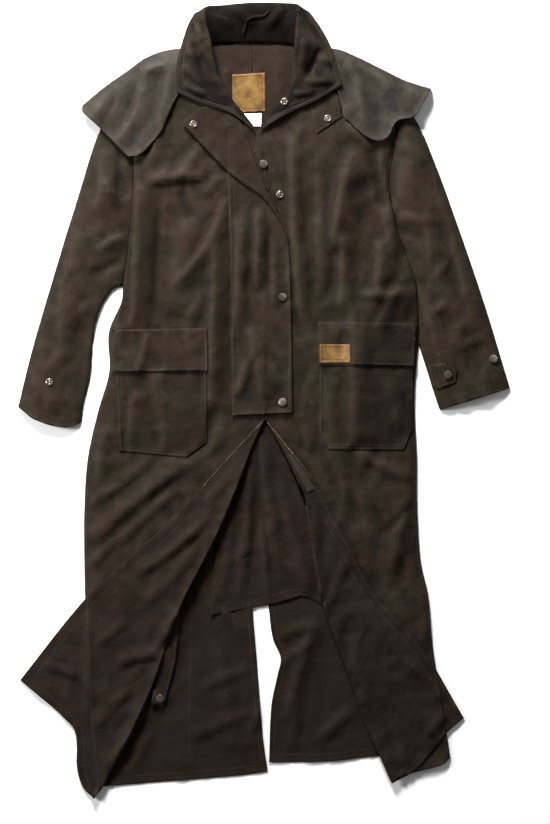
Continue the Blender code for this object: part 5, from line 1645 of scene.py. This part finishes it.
# %% [markdown]
# ## Snaps
# The coat closes with press studs. A cap is a turned dome that is clinched through the cloth, and a socket
# is a ring with a spring in its well. Both start as a cylinder whose top is inset and raised step by step,
# as a lathe would cut it, and a bevel then rounds the steps.

# %% Model a cap and a socket
ROUND_EDGE, ROUND_STEPS, ROUND_FROM = 0.22, 2, 20
CAP_RADIUS, CAP_DISC, SOCKET_RADIUS, SOCKET_DISC = 7.3, 0.8, 7.0, 0.7
CAP_STEPS = ((0.7, 0.5), (1.0, 0.7), (1.3, 0.6), (1.6, 0.45), (1.4, 0.15))
SOCKET_STEPS = ((0.9, 0.7), (0.6, 0.35), (1.5, 0.0), (0.5, -1.0), (1.7, 0.0), (0.3, 0.7))


def turned(name, radius, thick, steps):
    """A disc whose top face is inset and raised in turn by each of the steps."""
    bpy.ops.object.select_all(action="DESELECT")
    bpy.ops.mesh.primitive_cylinder_add(
        vertices=32, radius=radius * MM, depth=thick * MM, location=(0, 0, thick / 2 * MM)
    )
    stud = bpy.context.object
    stud.name = name
    top = max(range(len(stud.data.polygons)), key=lambda i: stud.data.polygons[i].center.z)
    for i, polygon in enumerate(stud.data.polygons):
        polygon.select = i == top
    bpy.ops.object.mode_set(mode="EDIT")
    bpy.ops.mesh.select_mode(type="FACE")
    for inset, rise in steps:
        bpy.ops.mesh.inset(thickness=inset * MM, depth=0)
        bpy.ops.transform.translate(value=(0, 0, rise * MM))
    bpy.ops.object.mode_set(mode="OBJECT")
    round_off = stud.modifiers.new("round", "BEVEL")
    round_off.width = ROUND_EDGE * MM
    round_off.segments = ROUND_STEPS
    round_off.limit_method = "ANGLE"
    round_off.angle_limit = math.radians(ROUND_FROM)
    bpy.ops.object.modifier_apply(modifier="round")
    bpy.ops.object.transform_apply(location=True, rotation=True, scale=True)
    bpy.ops.object.shade_smooth()
    return stud


cap_form = turned("cap_form", CAP_RADIUS, CAP_DISC, CAP_STEPS)
socket_form = turned("socket_form", SOCKET_RADIUS, SOCKET_DISC, SOCKET_STEPS)

Snap = namedtuple("Snap", "node carrier x y form")
SNAPS = (
    Snap("snap_neck", "collar_cloth", 36, 535, socket_form),
    Snap("snap_throat_tab", "throat_strap", 114, 506, socket_form),
    Snap("snap_lapel", "storm_flap_cloth", -127, 495, socket_form),
    Snap("snap_front_inner", "coat_front_left", 28, 369, socket_form),
    Snap("snap_front_top", "zip_tape_top", -2, 424, cap_form),
    Snap("snap_storm_upper", "storm_flap_cloth", 32, 185, cap_form),
    Snap("snap_storm_lower", "storm_flap_cloth", 33, -4, cap_form),
    Snap("snap_cuff_right", "coat_sleeve_right", -386, 32, socket_form),
    Snap("snap_cuff_left", "coat_sleeve_left", 411, 74, cap_form),
    Snap("snap_cuff_tab", "cuff_strap", 329, 46, cap_form),
    Snap("snap_leg_strap", "thigh_strap", -188, -536, cap_form),
)
SNAP_REACH, SNAP_CLEARANCE = 6.0, 0.1
around = [(SNAP_REACH * math.cos(turn), SNAP_REACH * math.sin(turn)) for turn in np.arange(8) * math.pi / 4]
for snap in SNAPS:
    spots = [(snap.x + dx, snap.y + dy) for dx, dy in [(0, 0), *around]]
    hits = [hit for hit in (from_above(surfaces[snap.carrier], *spot) for spot in spots) if hit]
    up = sum((hit[1] for hit in hits), Vector()).normalized()
    middle = Vector((snap.x, snap.y, 0))
    seat = max((hit[0] - middle).dot(up) for hit in hits) + SNAP_CLEARANCE
    base_point = middle + Vector((0, 0, seat / up.z))
    piece = laid(snap.node.replace("snap", "stud"), snap.form, [(base_point, Vector((1, 0, 0)), up)], nickel)
    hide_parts(snap.node)
    carried.setdefault(snap.carrier, []).append(piece)
for form in (cap_form, socket_form):
    bpy.data.objects.remove(form)
print(len(SNAPS), "snaps")

# %% [markdown]
# ## Zip
# The two halves of the zip run down the front edges, and show where the skirts are folded back. A tooth is
# a small clamped bar of metal. The slider is out of sight under the storm flap, and only two stops show at
# the neck.

# %% Zip teeth and stops
TOOTH_SIZE, TOOTH_ROUND = (1.1, 1.9, 0.8), 0.22
TOOTH_PITCH, TOOTH_PROUD = 2.5, 0.35
ZIP_START, ZIP_REACH = 6, {"right": 168, "left": 141}
ZIP_INSET = 1.6
STOPS, STOP_AHEAD, STOP_PROUD = ((9, 368), (15, 362)), (0.8, 0.6, 0), 0.3
bpy.ops.object.select_all(action="DESELECT")
bpy.ops.mesh.primitive_cube_add(size=MM, location=(0, 0, 0))
tooth = bpy.context.object
bpy.ops.object.mode_set(mode="EDIT")
bpy.ops.transform.resize(value=TOOTH_SIZE)
bpy.ops.mesh.bevel(offset=TOOTH_ROUND * MM, segments=1, affect="EDGES")
bpy.ops.object.mode_set(mode="OBJECT")
for side, reach in ZIP_REACH.items():
    name = f"coat_front_{side}"
    run = seam_run(f"flap_edge_{side}", 3)
    travelled = travelled_along(run)
    run = run[(travelled > ZIP_START) & (travelled < reach)]
    inwards = shifted(run, ZIP_INSET)
    if not within(inwards[len(run) // 2 :][:1], loop_of(f"flap_{side}", EDGE_STEP))[0]:
        inwards = shifted(run, -ZIP_INSET)
    frames = frames_along(surfaces[name], inwards, TOOTH_PITCH, -TOOTH_PROUD)
    carried[name].append(laid(f"zip_teeth_{side}", tooth, frames, zinc))
stop_frames = []
for x, y in STOPS:
    place, up = from_above(surfaces["coat_front_left"], x, y)
    stop_frames.append((place + up * STOP_PROUD, Vector(STOP_AHEAD), up))
carried["coat_front_left"].append(laid("zip_stops", tooth, stop_frames, zinc))
bpy.data.objects.remove(tooth)
for on_cloth in carried.values():
    for piece in on_cloth:
        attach(piece, "root")
print(sum(map(len, carried.values())), "pieces of thread and metal")

# %% [markdown]
# ## Hanging loop
# A narrow tape sewn into the back of the collar, to hang the coat by. It is a strip swept along its route,
# which rises clear of the collar in its middle, where a hook would go.

# %% Hanging loop
LOOP_ROUTE = ((-38, 657), (-35, 669), (-30, 682), (-18, 687), (0, 690), (7, 697))
LOOP_WIDTH, LOOP_THICK, LOOP_STEP = 4.2, 1.0, 2.0
LOOP_RISE, LOOP_CLEARANCE, LOOP_CROWN = 1.6, 0.3, 0.3
ACROSS = 4
LOOP_DARK, LOOP_PALE, LOOP_PITCH = (0.0026, 0.0018, 0.0012, 1), (0.0070, 0.0050, 0.0034, 1), 0.0016
route = rounded(LOOP_ROUTE, LOOP_STEP)
left, right = shifted(route, LOOP_WIDTH / 2), shifted(route, -LOOP_WIDTH / 2)
strip, strip_plan = [], []
for i, spots in enumerate(zip(left, route, right)):
    hits = [from_above(surfaces["collar_cloth"], *spot) for spot in spots]
    seat = max(hit[0].z for hit in hits if hit) + LOOP_CLEARANCE + LOOP_THICK / 2
    seat += LOOP_RISE * math.sin(math.pi * i / (len(route) - 1))
    for t in np.linspace(0, 1, ACROSS + 1):
        spot = spots[0] + (spots[2] - spots[0]) * t
        strip.append((*spot, seat + LOOP_CROWN * math.sin(math.pi * t)))
        strip_plan.append((t * LOOP_WIDTH, LOOP_STEP * i))
corners = [i * (ACROSS + 1) + j for i in range(len(route) - 1) for j in range(ACROSS)]
quads = [(corner, corner + 1, corner + ACROSS + 2, corner + ACROSS + 1) for corner in corners]
strip, strip_plan = np.array(strip), np.array(strip_plan)
strip_edge = np.minimum(strip_plan[:, 0], LOOP_WIDTH - strip_plan[:, 0])
loop_shape = (strip, quads, strip_plan, strip_edge, np.zeros(len(strip)))
loop_tape = cloth("loop_tape", loop_shape, wall=LOOP_THICK)
loop_tape.data.materials.append(woven_tape("loop_tape", LOOP_DARK, LOOP_PALE, LOOP_PITCH))
print("hanging loop:", round(travelled_along(route)[-1]), "mm long")

# %% [markdown]
# ## The cut of each piece
# Every piece of cloth now takes the place of its solid, which is hidden, and a printed line gives how large
# the cloth was before it was sewn and laid down. The area is that of its outlines, so it says more than the
# width and length.

# %% State the cuts
def cut_area(cut):
    """The area of cloth in a piece, in square metres."""
    if cut.piece in CURVED_CUTS:
        return CURVED_CUTS[cut.piece]
    return sum(abs(enclosed(loop_of(outline, EDGE_STEP) * MM)) for outline in cut.outlines)


for cut in CUTS:
    piece = pieces[cut.piece]
    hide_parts(cut.node)
    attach(piece, "root")
    area = cut_area(cut)
    print(cut.piece, "cut", cut.width, "x", cut.length, "m, area", round(area, 4), "m2")

# %% [markdown]
# ## Floor and light
# A plain pale floor and soft studio light. The strongest lamp is beyond the collar and a weaker one on the
# picture's left, both low, so that every fold and flap throws its shade down and to the right.

# %% Floor, light and world
FLOOR_SIZE, FLOOR_DROP = 14, 0.0002
FLOOR_PAINT, FLOOR_ROUGH = (0.93, 0.93, 0.93, 1), 0.9
ROOM_LIGHT = 0.14
bpy.ops.object.select_all(action="DESELECT")
bpy.ops.mesh.primitive_plane_add(size=FLOOR_SIZE, location=(0, 0, -FLOOR_DROP))
floor = bpy.context.object
floor.name = "floor"
floor_paint = bpy.data.materials.new("floor_paint")
floor_paint.use_nodes = True
floor_surface = floor_paint.node_tree.nodes["Principled BSDF"]
floor_surface.inputs["Base Color"].default_value = FLOOR_PAINT
floor_surface.inputs["Roughness"].default_value = FLOOR_ROUGH
floor.data.materials.append(floor_paint)

LIT_SPOT = Vector((0, 0.1, 0))
Lamp = namedtuple("Lamp", "name place size power")
LAMPS = (
    Lamp("key", (-0.55, 2.05, 1.2), 0.6, 178),
    Lamp("side", (-2.1, 0.35, 1.05), 0.6, 64),
    Lamp("fill", (1.9, 0.9, 1.6), 1.6, 8),
)
for lamp in LAMPS:
    bpy.ops.object.light_add(type="AREA", location=lamp.place)
    light = bpy.context.object
    light.name = lamp.name
    light.data.size = lamp.size
    light.data.energy = lamp.power
    light.rotation_mode = "QUATERNION"
    light.rotation_quaternion = (LIT_SPOT - Vector(lamp.place)).to_track_quat("-Z", "Y")
world = bpy.data.worlds.new("studio")
world.use_nodes = True
sky = world.node_tree.nodes["Background"]
sky.inputs["Color"].default_value = (1.0, 1.0, 1.0, 1)
sky.inputs["Strength"].default_value = ROOM_LIGHT
bpy.context.scene.world = world
bpy.context.scene.view_settings.view_transform = "Standard"
print(len(LAMPS), "lamps over a floor", FLOOR_SIZE, "m wide")
